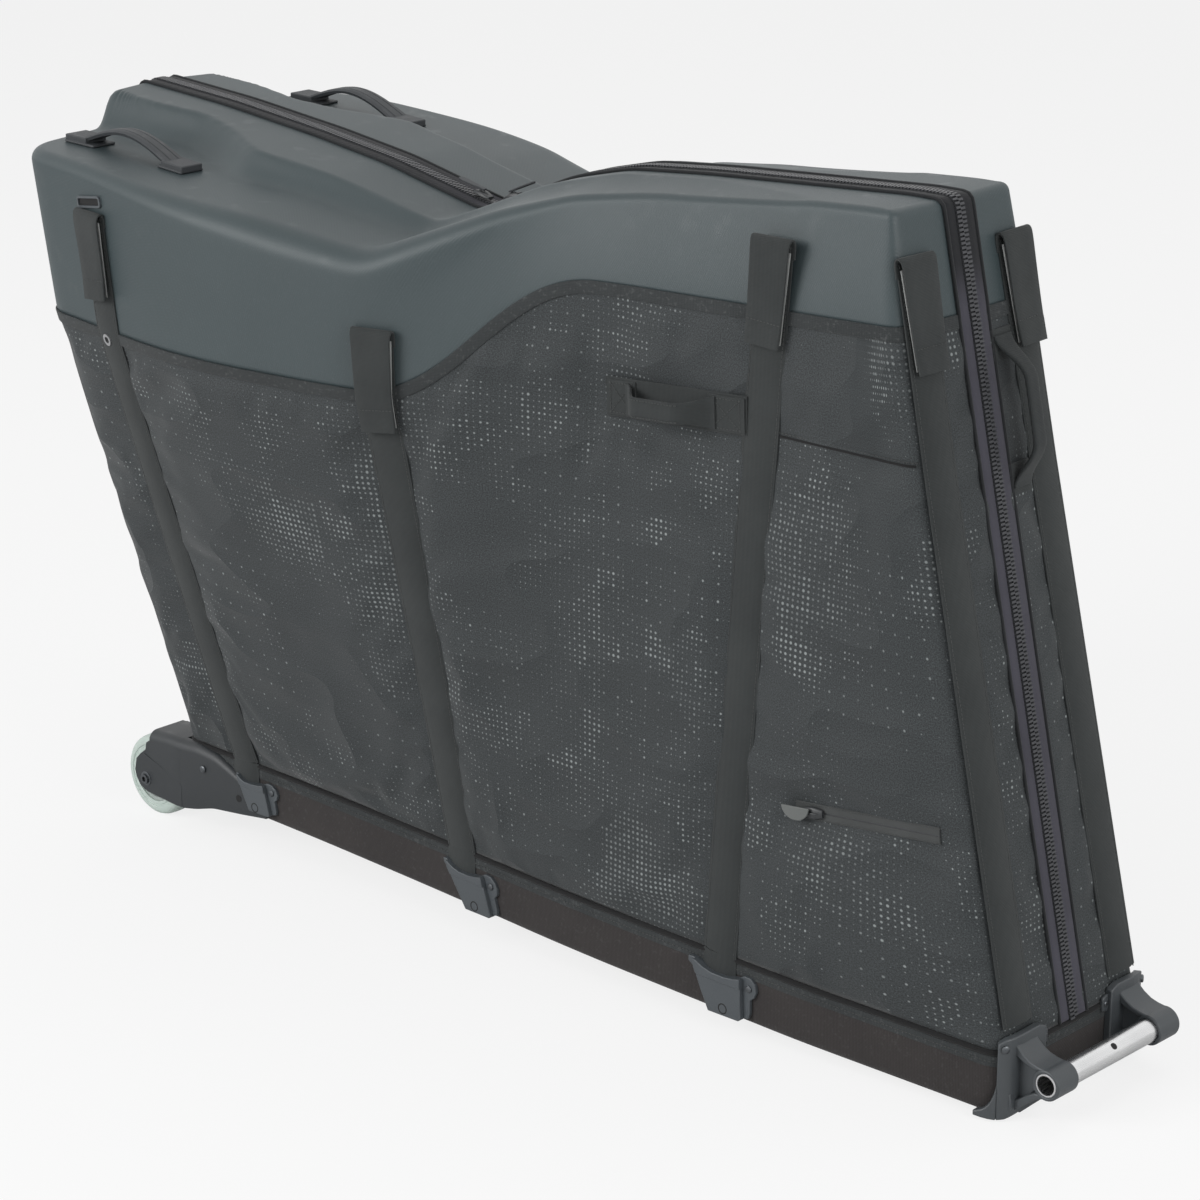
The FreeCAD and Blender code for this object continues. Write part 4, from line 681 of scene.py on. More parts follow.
def smooth_line(xs, values, reach):
    """A table that answers with the values, softened over a reach in millimetres."""
    fine = np.arange(-400, 1500, 2.0)
    raw = np.interp(fine, xs, values)
    kernel = np.hanning(reach + 2)
    kernel /= kernel.sum()
    soft = np.convolve(np.pad(raw, reach, mode="edge"), kernel, mode="same")[reach:-reach]
    return lambda x: np.interp(x, fine, soft)


ridge_height = smooth_line(CREST_X, RIDGE_Z, SOFTEN)
side_height = smooth_line(CREST_X, SIDE_Z, SOFTEN)
ridge_half_width = smooth_line(RIDGE_X, RIDGE_HALF, SOFTEN)
shoulder_round = smooth_line(ROUND_X, ROUNDING, SOFTEN_LONG)
flank_width = smooth_line(FLANK_X, FLANK, 40)
hump_lean = smooth_line(LEAN_X, LEAN, SOFTEN_LONG)


def crown(x, half):
    """Height of the shell's top at a place in plan."""
    edge = ridge_half_width(x)
    share = np.clip((half - edge + 2) / flank_width(x), 0, 1)
    fall = 1 - (1 - share) ** 2.4
    return ridge_height(x) + (side_height(x) - ridge_height(x)) * fall


print("ridge from", ridge_height(-100).round(1), "to", ridge_height(900).round(1))

# %% Lower edge of the shell
WAVE_X = (400, 515, 535, 650)
WAVE_Z = (564, 564, 699, 699)
EDGE_RISE, EDGE_RUN = 19, 497


def cubic(pulls, s):
    """A smooth way from the first number to the last, pulled towards the two between."""
    first, second, third, last = pulls
    rest = 1 - s
    return rest ** 3 * first + 3 * s * rest ** 2 * second + 3 * s * s * rest * third + s ** 3 * last


wave_points = np.array([[cubic(WAVE_X, s), cubic(WAVE_Z, s)] for s in np.linspace(0, 1, 60)])


def shell_edge(x):
    """Height of the shell's lower edge."""
    wave = np.interp(x, wave_points[:, 0], wave_points[:, 1])
    return wave + np.maximum(x - WAVE_X[-1], 0) * EDGE_RISE / EDGE_RUN


def edge_heights():
    """The edge's height at every column of the wall."""
    z = np.full(COLUMNS, 600.0)
    for turn in range(6):
        z = shell_edge(wall(np.arange(COLUMNS), z)[:, 0])
    return z


EDGE_Z = edge_heights()
print("shell edge from", EDGE_Z.min().round(1), "to", EDGE_Z.max().round(1))

# %% Grid of the shell
WALL_ROWS = 12
ROUND_ROWS = 8
TOP_ROWS = 40
LEAN_HIGH = 85.0
every = np.arange(COLUMNS)


def shell_wall(z):
    """The wall above the shell's edge at every column; on the hump it leans further in."""
    spots, along, up, out = wall_frame(every, z)
    rise = np.clip((z - EDGE_Z) / LEAN_HIGH, 0, 1.1) ** 1.25
    inward = hump_lean(spots[:, 0]) * rise * out[:, 1] ** 2
    return spots + inward[:, None] * (0, 1, 0), unit(out * (1, 1, 0))


shoulder_z = np.full(COLUMNS, 700.0)
for turn in range(8):
    foot, flat_out = shell_wall(shoulder_z)
    below = shell_wall(shoulder_z - 2)[0]
    tilt = np.arctan(((below - foot) * flat_out).sum(-1) / 2)
    bend = shoulder_round(foot[:, 0])
    rim = foot - flat_out * (bend * np.cos(tilt))[:, None]
    shoulder_z = crown(rim[:, 0], -rim[:, 1]) - bend * (1 - np.sin(tilt))
foot, flat_out = shell_wall(shoulder_z)
rim = foot - flat_out * (bend * np.cos(tilt))[:, None]
rim[:, 2] = shoulder_z + bend * (1 - np.sin(tilt))
rim[:, 1] = np.minimum(rim[:, 1], -ZIP_SLOT)

rows = [shell_wall(EDGE_Z + (shoulder_z - EDGE_Z) * share)[0] for share in np.linspace(0, 1, WALL_ROWS)]
for share in np.linspace(0, 1, ROUND_ROWS + 1)[1:]:
    angle = tilt + (math.pi / 2 - tilt) * share
    row = foot - flat_out * (bend * (np.cos(tilt) - np.cos(angle)))[:, None]
    row[:, 1] = np.minimum(row[:, 1], -ZIP_SLOT)
    row[:, 2] = shoulder_z + bend * (np.sin(angle) - np.sin(tilt))
    rows.append(row)
step_length = np.abs(np.diff(rim[:, 0])) + 0.15 * np.abs(np.diff(rim[:, 1]))
travel = np.concatenate([[0], np.cumsum(step_length)])
SPINE_INSET = 22
spine_start = rim[0, 0] + SPINE_INSET
spine_end = rim[-1, 0] - SPINE_INSET
spine_x = spine_start + (spine_end - spine_start) * travel / travel[-1]
for share in np.linspace(0, 1, TOP_ROWS + 1)[1:]:
    row_x = rim[:, 0] + (spine_x - rim[:, 0]) * share
    half = -rim[:, 1] + (ZIP_SLOT + rim[:, 1]) * share
    rows.append(np.stack([row_x, -half, crown(row_x, half)], -1))
shell_grid = np.stack(rows, 1)
SHELL_ROWS = shell_grid.shape[1]
print("shell grid", shell_grid.shape)

# %% Both shells
SHELL_THICK = 3.0
near_shell, far_shell = both_sides(
    "shell_skin", shell_grid.reshape(-1, 3), grid_faces(COLUMNS, SHELL_ROWS), shell_finish,
    "shell_plastic", "shell")


def skin(piece, thick):
    """Smooths a sheet once and gives it thickness inwards."""
    soft = piece.modifiers.new("soft", "SUBSURF")
    soft.levels = soft.render_levels = 1
    wall_modifier = piece.modifiers.new("thick", "SOLIDIFY")
    wall_modifier.thickness = thick / 1000
    wall_modifier.offset = -1


for piece in (near_shell, far_shell):
    skin(piece, SHELL_THICK)
print("shells", near_shell.name, far_shell.name)

# %% [markdown]
# ## Padded side panels
# Below the shell the wall is padded cloth, sewn to the base, to the shell's binding, to the zip and to
# the webbing sleeves. Between the seams it swells a little and puckers. Drawing those puckers by hand
# looks false, so the flat wall is given slightly too much cloth and simulated, held at the seams. The
# result is capped, because foam behind the cloth keeps it near the wall.

# %% Grid of the panel
PANEL_ROWS = 52
FOLD_Z = 66.6
TUCK = 3.0
panel_share = np.linspace(0, 1, PANEL_ROWS)
panel_heights = FOLD_Z + (EDGE_Z[:, None] - TUCK - FOLD_Z) * panel_share[None]
panel_grid = wall(every[:, None], panel_heights)
panel_out = wall_frame(every[:, None] * np.ones((1, PANEL_ROWS)), panel_heights)[3]
print("panel grid", panel_grid.shape)

# %% Where the sleeves run
SLEEVES = {
    "first": ((106, 66.4), (38, 680)),
    "second": ((453, 66.4), (424, 622)),
    "third": ((817, 66.4), (857, 768)),
}
TAIL_SLEEVE = ((79, 86), (70, 764))
SLEEVE_WIDE = 42.0


def sleeve_line(name, z):
    """Columns of a sleeve's middle at heights z."""
    (low_x, low_z), (high_x, high_z) = SLEEVES[name]
    return side_column(np.interp(z, (low_z, high_z), (low_x, high_x)), z)


def tail_line(z):
    """Columns of the middle of the tube end's sleeve at heights z."""
    (low_y, low_z), (high_y, high_z) = TAIL_SLEEVE
    return tail_column(np.interp(z, (low_z, high_z), (low_y, high_y)), z)


def distance_to_sleeves():
    """How far each point of the panel lies from the middle of the nearest sleeve."""
    levels = np.linspace(70, 720, 60)
    nearest = np.full(panel_grid.shape[:2], 1e9)
    for columns in [sleeve_line(name, levels) for name in SLEEVES] + [tail_line(levels)]:
        spots = wall(np.array([np.interp(z, levels, columns) for z in panel_heights.ravel()]),
                     panel_heights.ravel()).reshape(panel_grid.shape)
        nearest = np.minimum(nearest, np.linalg.norm(panel_grid - spots, axis=-1))
    return nearest


sleeve_reach = distance_to_sleeves()
print("furthest from a sleeve", sleeve_reach.max().round(), "mm")

# %% Where the pocket, the grab patch and the pleat sit
SLIT = {"left": 905.0, "right": 1068.0, "low": 240.0, "rise": 17.0}
PATCH = {"left": 664.0, "right": 833.0, "middle": 593.0, "rise": 11.0, "high": 38.0}
PLEAT_Z = 592.0
PLEAT_START, PLEAT_END = 868.0, 94.0


def slit_z(x):
    """Height of the pocket's slit along the near side."""
    return SLIT["low"] + SLIT["rise"] * (x - SLIT["left"]) / (SLIT["right"] - SLIT["left"])


def patch_z(x):
    """Height of the grab handle's patch along the near side."""
    share = (x - PATCH["left"]) / (PATCH["right"] - PATCH["left"])
    return PATCH["middle"] + PATCH["rise"] * share


patch_xs = np.linspace(PATCH["left"], PATCH["right"], 60)
slit_xs = np.linspace(SLIT["left"], SLIT["right"], 60)
pleat_zs = np.full(60, PLEAT_Z)
pleat_start = side_column(np.array([PLEAT_START]), pleat_zs[:1])[0]
pleat_end = tail_column(np.array([PLEAT_END]), pleat_zs[:1])[0]
pleat_columns = np.linspace(pleat_start, pleat_end, 60)
print("slit at", slit_z(slit_xs[:1]), "patch at", patch_z(patch_xs[:1]))

# %% Points that the seams hold
SLIT_HOLD, PLEAT_HOLD, PATCH_HOLD = 15.0, 13.0, 26.0


def distance_to_line(columns, zs):
    """How far each point of the panel lies from a line on the wall."""
    line = wall(columns, zs)
    gaps = np.linalg.norm(panel_grid[:, :, None] - line[None, None], axis=-1)
    return gaps.min(-1)


held = np.zeros(panel_grid.shape[:2], bool)
held[:, 0] = held[:, -1] = held[:, -2] = True
held[0] = held[-1] = True
held |= sleeve_reach < SLEEVE_WIDE / 2 - 1
held |= distance_to_line(side_column(slit_xs, slit_z(slit_xs)), slit_z(slit_xs)) < SLIT_HOLD
held |= distance_to_line(pleat_columns, pleat_zs) < PLEAT_HOLD
held |= distance_to_line(side_column(patch_xs, patch_z(patch_xs)), patch_z(patch_xs)) < PATCH_HOLD
print("held points", int(held.sum()), "of", held.size)

# %% Sew the panel's cloth
PUFF_CAP = (-1.5, 9.0)
SLIDE_CAP = 6.0
SURPLUS = 0.022
MOMENTS = 24


def sewn(points):
    """The wall's cloth after a simulation that is held at the seams."""
    count, rows = points.shape[:2]
    trial = make_piece("cloth_trial", points.reshape(-1, 3), grid_faces(count, rows), printed_fabric_finish)
    seams = trial.vertex_groups.new(name="seams")
    seams.add([int(index) for index in np.flatnonzero(held.ravel())], 1.0, "REPLACE")
    cloth = trial.modifiers.new("cloth", "CLOTH")
    rule = cloth.settings
    rule.quality = 6
    rule.mass = 0.2
    rule.tension_stiffness = rule.compression_stiffness = 20
    rule.shear_stiffness = 8
    rule.bending_stiffness = 0.35
    rule.shrink_min = -SURPLUS
    rule.vertex_group_mass = "seams"
    rule.use_pressure = True
    rule.uniform_pressure_force = 1.2
    rule.effector_weights.gravity = 0.15
    cloth.collision_settings.use_collision = False
    scene = bpy.context.scene
    cloth.point_cache.frame_start = 1
    cloth.point_cache.frame_end = MOMENTS
    for moment in range(1, MOMENTS + 1):
        scene.frame_set(moment)
    settled = trial.evaluated_get(bpy.context.evaluated_depsgraph_get())
    found = np.empty(count * rows * 3)
    settled.data.vertices.foreach_get("co", found)
    scene.frame_set(1)
    bpy.data.objects.remove(trial)
    move = found.reshape(points.shape) - stand(points)
    normal = turned(panel_out)
    off = (move * normal).sum(-1, keepdims=True)
    slide = move - off * normal
    length = np.linalg.norm(slide, axis=-1, keepdims=True)
    slide *= np.minimum(1, SLIDE_CAP / 1000 / np.maximum(length, 1e-9))
    off = np.clip(off, PUFF_CAP[0] / 1000, PUFF_CAP[1] / 1000)
    shift = (off * normal + slide) * 1000
    level_shift = np.stack([
        math.cos(TILT) * shift[..., 0] - math.sin(TILT) * shift[..., 2],
        shift[..., 1],
        math.sin(TILT) * shift[..., 0] + math.cos(TILT) * shift[..., 2]], -1)
    least, most = (round(float(value) * 1000, 2) for value in (off.min(), off.max()))
    print("cloth moved out", least, "to", most, "mm")
    return points + level_shift


panel_sewn = sewn(panel_grid)
print("sewn panel", panel_sewn.shape)


# %% Panels and their inside cloth
def map_cloth(piece, across, upward):
    """A UV map in metres: along the wall and up it."""
    layer = piece.data.uv_layers.new(name="cloth")
    corner = np.empty(len(piece.data.loops), int)
    piece.data.loops.foreach_get("vertex_index", corner)
    flat = np.stack([across.ravel()[corner], upward.ravel()[corner]], -1) / 1000
    layer.data.foreach_set("uv", flat.ravel())


PANEL_THICK = 3.0
INSIDE_THICK = 0.8
INSIDE = 3.6
FAR_PRINT = 1731
MIDDLE_Z = 330.0
middle_line = wall(every, MIDDLE_Z)
run_along = np.concatenate([[0], np.cumsum(np.linalg.norm(np.diff(middle_line, axis=0), axis=1))])
panels = both_sides(
    "panel_cloth", panel_sewn.reshape(-1, 3), grid_faces(COLUMNS, PANEL_ROWS), printed_fabric_finish,
    "printed_fabric", "side_panel")
for number, piece in enumerate(panels):
    map_cloth(piece, np.repeat(run_along[:, None] + number * FAR_PRINT, PANEL_ROWS, 1), panel_heights)
    skin(piece, PANEL_THICK)
inside_grid = panel_sewn - panel_out * INSIDE
insides = both_sides(
    "panel_inside", inside_grid.reshape(-1, 3), grid_faces(COLUMNS, PANEL_ROWS),
    inside_finish, "base_cloth")
for piece in insides:
    skin(piece, INSIDE_THICK)
print("panels", len(panels), "insides", len(insides))

# %% [markdown]
# ## Edge binding
# A woven tape closes the raw edge where the shell overlaps the cloth. It follows the shell's edge all
# the way round, so it is a flat section carried along the wall.

# %% Binding along the shell's edge
BIND_WIDE = 13.0
BIND_DROP = 5.0
bind_columns = np.linspace(1.0, COLUMNS - 2.0, 330)
bind_z = np.interp(bind_columns, every, EDGE_Z) - BIND_DROP
bind_path, _, _, bind_out = wall_frame(bind_columns, bind_z)
bind_run = unit(np.gradient(bind_path, axis=0))
bind_across = unit(np.cross(bind_out, bind_run))
points, faces = sweep(bind_path, bind_across, bind_out, tape_section(BIND_WIDE, 1.9, -0.3))
both_sides("binding", points, faces, binding_finish, "binding", "edge_tape", sharp=50)
print("binding points", len(points))

# %% [markdown]
# ## Trees that repeat along a path
# Stitches and zip teeth are the same small thing again and again. A Geometry Nodes tree takes a line,
# divides it by a pitch and puts one small solid on every division. The solid's sizes are named inputs
# of the tree, so one tree serves every seam of the case.


# %% Geometry Nodes for things in a row
class Tree(Shade):
    """The same wrapper for a geometry tree."""


def path_tree(name, build):
    """A tree with a line as its input; build gives the small solid that is put on each division."""
    tree = bpy.data.node_groups.new(name, "GeometryNodeTree")
    tree.interface.new_socket("Geometry", in_out="INPUT", socket_type="NodeSocketGeometry")
    for label in ("Pitch", "Length", "Width", "Height"):
        tree.interface.new_socket(label, in_out="INPUT", socket_type="NodeSocketFloat")
    tree.interface.new_socket("Finish", in_out="INPUT", socket_type="NodeSocketMaterial")
    tree.interface.new_socket("Geometry", in_out="OUTPUT", socket_type="NodeSocketGeometry")
    entry = tree.nodes.new("NodeGroupInput")
    given = {socket.name: Tree(tree, socket) for socket in entry.outputs if socket.name}
    start = Tree(tree)
    line = start.node("GeometryNodeMeshToCurve", {}, {"Mesh": given["Geometry"]})
    evenly = start.node("GeometryNodeResampleCurve", {"mode": "LENGTH"},
                        {"Curve": line, "Length": given["Pitch"]})
    tangent = start.node("GeometryNodeInputTangent")
    forward = start.node("FunctionNodeAlignRotationToVector", {"axis": "X"}, {"Vector": tangent})
    level = start.node("FunctionNodeAlignRotationToVector", {"axis": "Y", "pivot_axis": "X"},
                       {"Rotation": forward, "Vector": (0, 1, 0)})
    placed = start.node("GeometryNodeInstanceOnPoints", {},
                        {"Points": evenly, "Instance": build(start, given), "Rotation": level})
    real = start.node("GeometryNodeRealizeInstances", {}, {"Geometry": placed})
    done = start.node("GeometryNodeSetMaterial", {}, {"Geometry": real, "Material": given["Finish"]})
    leave = tree.nodes.new("NodeGroupOutput")
    tree.links.new(done.socket, leave.inputs[0])
    return tree


def small_block(start, given):
    """A block with its length along the line."""
    size = start.node("ShaderNodeCombineXYZ", {},
                      {"X": given["Length"], "Y": given["Width"], "Z": given["Height"]})
    return start.node("GeometryNodeMeshCube", {}, {"Size": size})


def small_thread(start, given):
    """A short round thread that lies along the line."""
    rod = start.node("GeometryNodeMeshCylinder", {},
                     {"Vertices": 6, "Radius": given["Width"], "Depth": given["Length"]})
    quarter = (0, math.pi / 2, 0)
    return start.node("GeometryNodeTransform", {}, {"Geometry": rod, "Rotation": quarter})


tooth_tree = path_tree("zip_teeth_in_a_row", small_block)
stitch_tree = path_tree("stitches_in_a_row", small_thread)
print("trees", tooth_tree.name, stitch_tree.name)


# %% Carry a tree along lines
def run_tree(name, tree, lines, finish, **sizes):
    """Carries a tree along lines of the level drawing and gives one plain mesh object."""
    mesh = bpy.data.meshes.new(name)
    points = []
    edges = []
    for line in lines:
        base = len(points)
        points += stand(line).tolist()
        edges += [(base + step, base + step + 1) for step in range(len(line) - 1)]
    mesh.from_pydata(points, edges, [])
    piece = bpy.data.objects.new(name, mesh)
    bpy.context.scene.collection.objects.link(piece)
    modifier = piece.modifiers.new("row", "NODES")
    modifier.node_group = tree
    for item in tree.interface.items_tree:
        if item.in_out == "INPUT" and item.name in sizes:
            modifier[item.identifier] = sizes[item.name] / 1000
        if item.in_out == "INPUT" and item.name == "Finish":
            modifier[item.identifier] = finish
    ready = piece.evaluated_get(bpy.context.evaluated_depsgraph_get())
    plain = bpy.data.meshes.new_from_object(ready)
    piece.modifiers.remove(modifier)
    piece.data = plain
    plain.name = name
    print(name, "polygons", len(plain.polygons))
    return piece


def flip(lines):
    """The same lines for the far half."""
    return [np.asarray(line, float) * (1, -1, 1) for line in lines]


def stitch_both(name, lines, finish, pitch=4.2, length=2.9, width=0.55):
    """Seams of thread for both halves."""
    for side, some in (("near", lines), ("far", flip(lines))):
        piece = run_tree(
            side + "_" + name, stitch_tree, some, finish, Pitch=pitch, Length=length, Width=width)
        dress(piece, side + "_half", "cord")


print("seam helpers ready")

# %% [markdown]
# ## The main zip
# The zip runs from the base up the tube end, over the top and down the wheel end. Its line is the open
# edge of the panel and shell grids, so it needs no drawing of its own. A tape, a piping along its outer
# edge and a row of teeth follow that line; the far teeth sit half a pitch on, and so mesh.

# %% Line of the zip
zip_line = np.concatenate([panel_grid[-1], shell_grid[-1], shell_grid[::-1, -1], shell_grid[0, ::-1],
                           panel_grid[0, ::-1]])
straight_in = np.repeat([[0.0, -1.0, 0.0]], SHELL_ROWS, 0)
zip_inward = np.concatenate([
    panel_grid[-2] - panel_grid[-1], straight_in, np.repeat(straight_in[:1], COLUMNS, 0), straight_in,
    (panel_grid[1] - panel_grid[0])[::-1]])


def even_line(line, pitch, *others):
    """A line divided evenly, with whatever goes with it."""
    step = np.linalg.norm(np.diff(line, axis=0), axis=1)
    keep = np.concatenate([[True], step > 1e-6])
    far = np.concatenate([[0], np.cumsum(step)])[keep]
    marks = np.linspace(0, far[-1], int(far[-1] / pitch) + 1)
    return [np.stack([np.interp(marks, far, part[keep, axis]) for axis in range(3)], -1)
            for part in (line, *others)]


zip_path, zip_in = even_line(zip_line, 5.0, unit(zip_inward))
zip_run = unit(np.gradient(zip_path, axis=0))
zip_across = unit(zip_in - (zip_in * zip_run).sum(-1, keepdims=True) * zip_run)
zip_out = unit(np.cross(zip_run, zip_across))
print("zip length", round(float(np.linalg.norm(np.diff(zip_path, axis=0), axis=1).sum())), "mm")

# %% Tape, piping and cord
TAPE_EDGE = 8.0
TAPE_SEWN = -11.7
tape = [(TAPE_SEWN, -0.2), (-6, -0.1), (0, 0.1), (TAPE_EDGE, 0.1), (TAPE_EDGE + 0.8, 0.6),
        (TAPE_EDGE, 1.3), (0, 1.4), (-6, 1.2), (TAPE_SEWN, 1.1)]
points, faces = sweep(zip_path, zip_across, zip_out, tape)
both_sides("zip_band", points, faces, zip_cloth_finish, "zip_cloth", "zip_tape", sharp=50)
bead = [(TAPE_EDGE + 0.6 + 1.8 * math.cos(turn), 1.3 + 1.8 * math.sin(turn))
        for turn in np.linspace(0, 2 * math.pi, 9)[:-1]]
points, faces = sweep(zip_path, zip_across, zip_out, bead)
both_sides("zip_piping", points, faces, piping_finish, "binding")
rail = [(-11.6, 1.0), (-5.4, 1.0), (-5.6, 1.8), (-11.4, 1.8)]
points, faces = sweep(zip_path, zip_across, zip_out, rail)
both_sides("zip_cord", points, faces, piping_finish, "zip_teeth", sharp=40)
print("tape, piping and cord made")

# %% Zip teeth
TOOTH_PITCH = 4.0
TOOTH_IN, TOOTH_OUT = -9.0, 2.3
tooth_line = zip_path + zip_across * TOOTH_IN + zip_out * TOOTH_OUT
for side, line in (("near", tooth_line), ("far", tooth_line * (1, -1, 1))):
    begin = 0.0 if side == "near" else TOOTH_PITCH / 2
    shifted = line.copy()
    shifted[0] += unit(line[1] - line[0]) * begin
    row = run_tree(side + "_zip_teeth", tooth_tree, [shifted], teeth_finish,
                   Pitch=TOOTH_PITCH, Length=2.2, Width=6.4, Height=1.8)
    dress(row, side + "_half", "zip_teeth", side + "_zip_chain")

# %% [markdown]
# ## Webbing sleeves and their caps
# Flat rods stiffen the walls. Each is in a sleeve of webbing from the base to the shell, and a folded
# cap of webbing takes the rod's top end: it starts behind the sleeve, turns over the rod and hangs in
# front like a lip, standing off enough to show its pale lining.


# %% Sleeves
def strap_section(wide, thick, lift):
    """Webbing over a flat rod: thin sewn edges and a low crown between them."""
    half = wide / 2
    top = [(-half + 0.3, lift + 1.5), (-half + 4.5, lift + 2.2), (-half * 0.55, lift + thick),
           (0, lift + thick + 0.3),
           (half * 0.55, lift + thick), (half - 4.5, lift + 2.2), (half - 0.3, lift + 1.5)]
    return top + [(half, lift + 0.6), (half - 0.4, lift), (-half + 0.4, lift), (-half, lift + 0.6)]


def sleeve_frames(columns, z):
    """A sleeve's path on the wall with the directions across it, out of it and along it."""
    path, along, up, out = wall_frame(columns, z)
    run = unit(np.gradient(path, axis=0))
    across = unit(np.cross(run, out))
    return path, across, unit(np.cross(across, run)), run


SLEEVE_THICK = 4.0
SEAM_INSET = 3.0
SLEEVE_TOPS = {"first": 684.0, "second": 622.0, "third": 768.0, "tail": 766.0}
CAP_SHARES = {"first": 0.86, "second": 0.96, "third": 0.95, "tail": 0.97}


def columns_of(name, z):
    """Columns of any sleeve's middle at heights z."""
    return tail_line(z) if name == "tail" else sleeve_line(name, z)


straps = []
battens = []
seams = []
for name, top in SLEEVE_TOPS.items():
    heights = np.arange(TAIL_SLEEVE[0][1] if name == "tail" else FOLD_Z, top, 9.0)
    heights = np.append(heights, top)
    path, across, out, run = sleeve_frames(columns_of(name, heights), heights)
    straps.append(sweep(path, across, out, strap_section(SLEEVE_WIDE, SLEEVE_THICK, 0.2)))
    inside = slice(1, -1)
    battens.append(sweep(path[inside], across[inside], out[inside], tape_section(28, 1.5, 1.6)))
    for side in (-1, 1):
        seams.append(path + across * side * (SLEEVE_WIDE / 2 - SEAM_INSET) + out * 2.1)
points, faces = together(*straps)
both_sides("webbing_sleeves", points, faces, webbing_finish, "webbing", "rod_sleeves", sharp=50)
stitch_both("sleeve_seams", seams, thread_finish)
points, faces = together(*battens)
both_sides("rod_battens", points, faces, rod_finish, "rod_plastic", "rods", sharp=50)

# %% Caps over the rod ends
CAP_WIDE = 46.0
CAP_NARROW = 0.84
CAP_STEPS = 48
CAP_FOLD = ((-10, 0.5), (0, 0.6), (4.6, 1.4), (7.0, 4.0), (6.6, 7.0), (3.4, 9.2), (-4, 9.9), (-30, 9.6),
            (-62, 9.4), (-86, 10.0), (-98, 10.8))
caps = []
linings = []
hems = []
for name, top in SLEEVE_TOPS.items():
    rise = np.array([top + dz * (CAP_SHARES[name] if dz < -10 else 1) for dz, off in CAP_FOLD])
    off = np.array([off for dz, off in CAP_FOLD])
    base, along, up, out = wall_frame(columns_of(name, rise), rise)
    share = np.linspace(0, len(base) - 1, CAP_STEPS)
    fold = resampled(base + out * off[:, None], share)
    for turn in range(2):
        fold[1:-1] = (fold[:-2] + 2 * fold[1:-1] + fold[2:]) / 4
    run = unit(np.gradient(fold, axis=0))
    sideways = unit(resampled(along, share))
    sideways = unit(sideways - (sideways * run).sum(-1, keepdims=True) * run)
    face = unit(np.cross(sideways, run)) * -1
    section = np.repeat(np.array(tape_section(CAP_WIDE, 2.0, -1.0))[None], len(fold), 0)
    section[-7:, :, 1] *= 1.5
    narrow = np.interp(np.arange(len(fold)), (0, 20, len(fold) - 1), (1, 1, CAP_NARROW))
    section[:, :, 0] *= narrow[:, None]
    caps.append(sweep(fold, sideways, face, section))
    for back in (3, 8):
        raised = fold[-back] + face[-back]
        reach = sideways[-back] * (CAP_WIDE * CAP_NARROW / 2 - 2)
        hems.append(np.array([raised - reach, raised + reach]))
    heights = np.linspace(top - 94 * CAP_SHARES[name], top - 3, 14)
    path, across, lift, run = sleeve_frames(columns_of(name, heights), heights)
    section = np.repeat(np.array(tape_section(CAP_WIDE - 1.2, 0.9, 6.3))[None], len(path), 0)
    section[:, :, 0] *= np.linspace(CAP_NARROW, 1, len(path))[:, None]
    linings.append(sweep(path, across, lift, section))
points, faces = together(*caps)
both_sides("webbing_caps", points, faces, webbing_finish, "webbing", "rod_pockets", sharp=60)
points, faces = together(*linings)
both_sides("cap_linings", points, faces, lining_finish, "webbing", sharp=50)
stitch_both("cap_seams", hems, thread_finish, 3.6, 2.5)

# %% [markdown]
# ## Grab handles
# The side handle is webbing folded to a narrow grip between two sewn ends, on a reinforcing patch. The
# handle at the tube end is the same loop standing upright. Each is a tape carried along an arch whose
# width grows towards its sewn ends.


# %% Helpers for webbing handles
def line_on_side(xs, zs):
    """A line on the long side with the directions across it, out of it and along it."""
    path, along, up, out = wall_frame(side_column(xs, zs), zs)
    run = unit(np.gradient(path, axis=0))
    return path, unit(np.cross(out, run)), out, run


def smooth_share(share):
    """0 to 1 with soft ends."""
    share = np.clip(share, 0, 1)
    return share * share * (3 - 2 * share)


def loop_sections(count, wide, grip, thick):
    """A tape that is wide and flat at its ends and folded narrow and thick in the middle."""
    sections = []
    for place in np.linspace(-1, 1, count):
        fold = smooth_share((1 - abs(place)) / 0.45)
        width = wide + (grip - wide) * fold
        sections.append(tape_section(width, thick * (1 + fold), 0, 0.9 + 0.8 * fold))
    return np.array(sections)


print("handle helpers ready")

# %% Patch of the side handle
xs = np.linspace(PATCH["left"], PATCH["right"], 40)
path, across, out, run = line_on_side(xs, patch_z(xs))
ground = sweep(path, across, out, tape_section(PATCH["high"], 2.2, 2.0))
seams = []
end_pads = []
for first, last in ((PATCH["left"] + 2, PATCH["left"] + 36), (PATCH["right"] - 46, PATCH["right"] - 2)):
    xs = np.linspace(first, last, 9)
    path, across, out, run = line_on_side(xs, patch_z(xs))
    end_pads.append(sweep(path, across, out, tape_section(PATCH["high"] - 4, 2.0, 4.0)))
    high = PATCH["high"] / 2 - 5
    lift = out * 6.1
    inner = slice(1, -1)
    seams.append((path + across * high + lift)[inner])
    seams.append((path - across * high + lift)[inner])
    slant = np.linspace(-high, high, 7)[:, None]
    seams.append((path + lift)[inner] + across[inner] * slant)
    seams.append((path + lift)[inner] - across[inner] * slant)
    for end in (1, -2):
        spot = path[end] + lift[end]
        seams.append(np.array([spot + across[end] * high, spot - across[end] * high]))
points, faces = together(ground, *end_pads)
both_sides("grab_patch_webbing", points, faces, webbing_finish, "webbing", "grab_patch", sharp=50)
print("patch seams", len(seams))

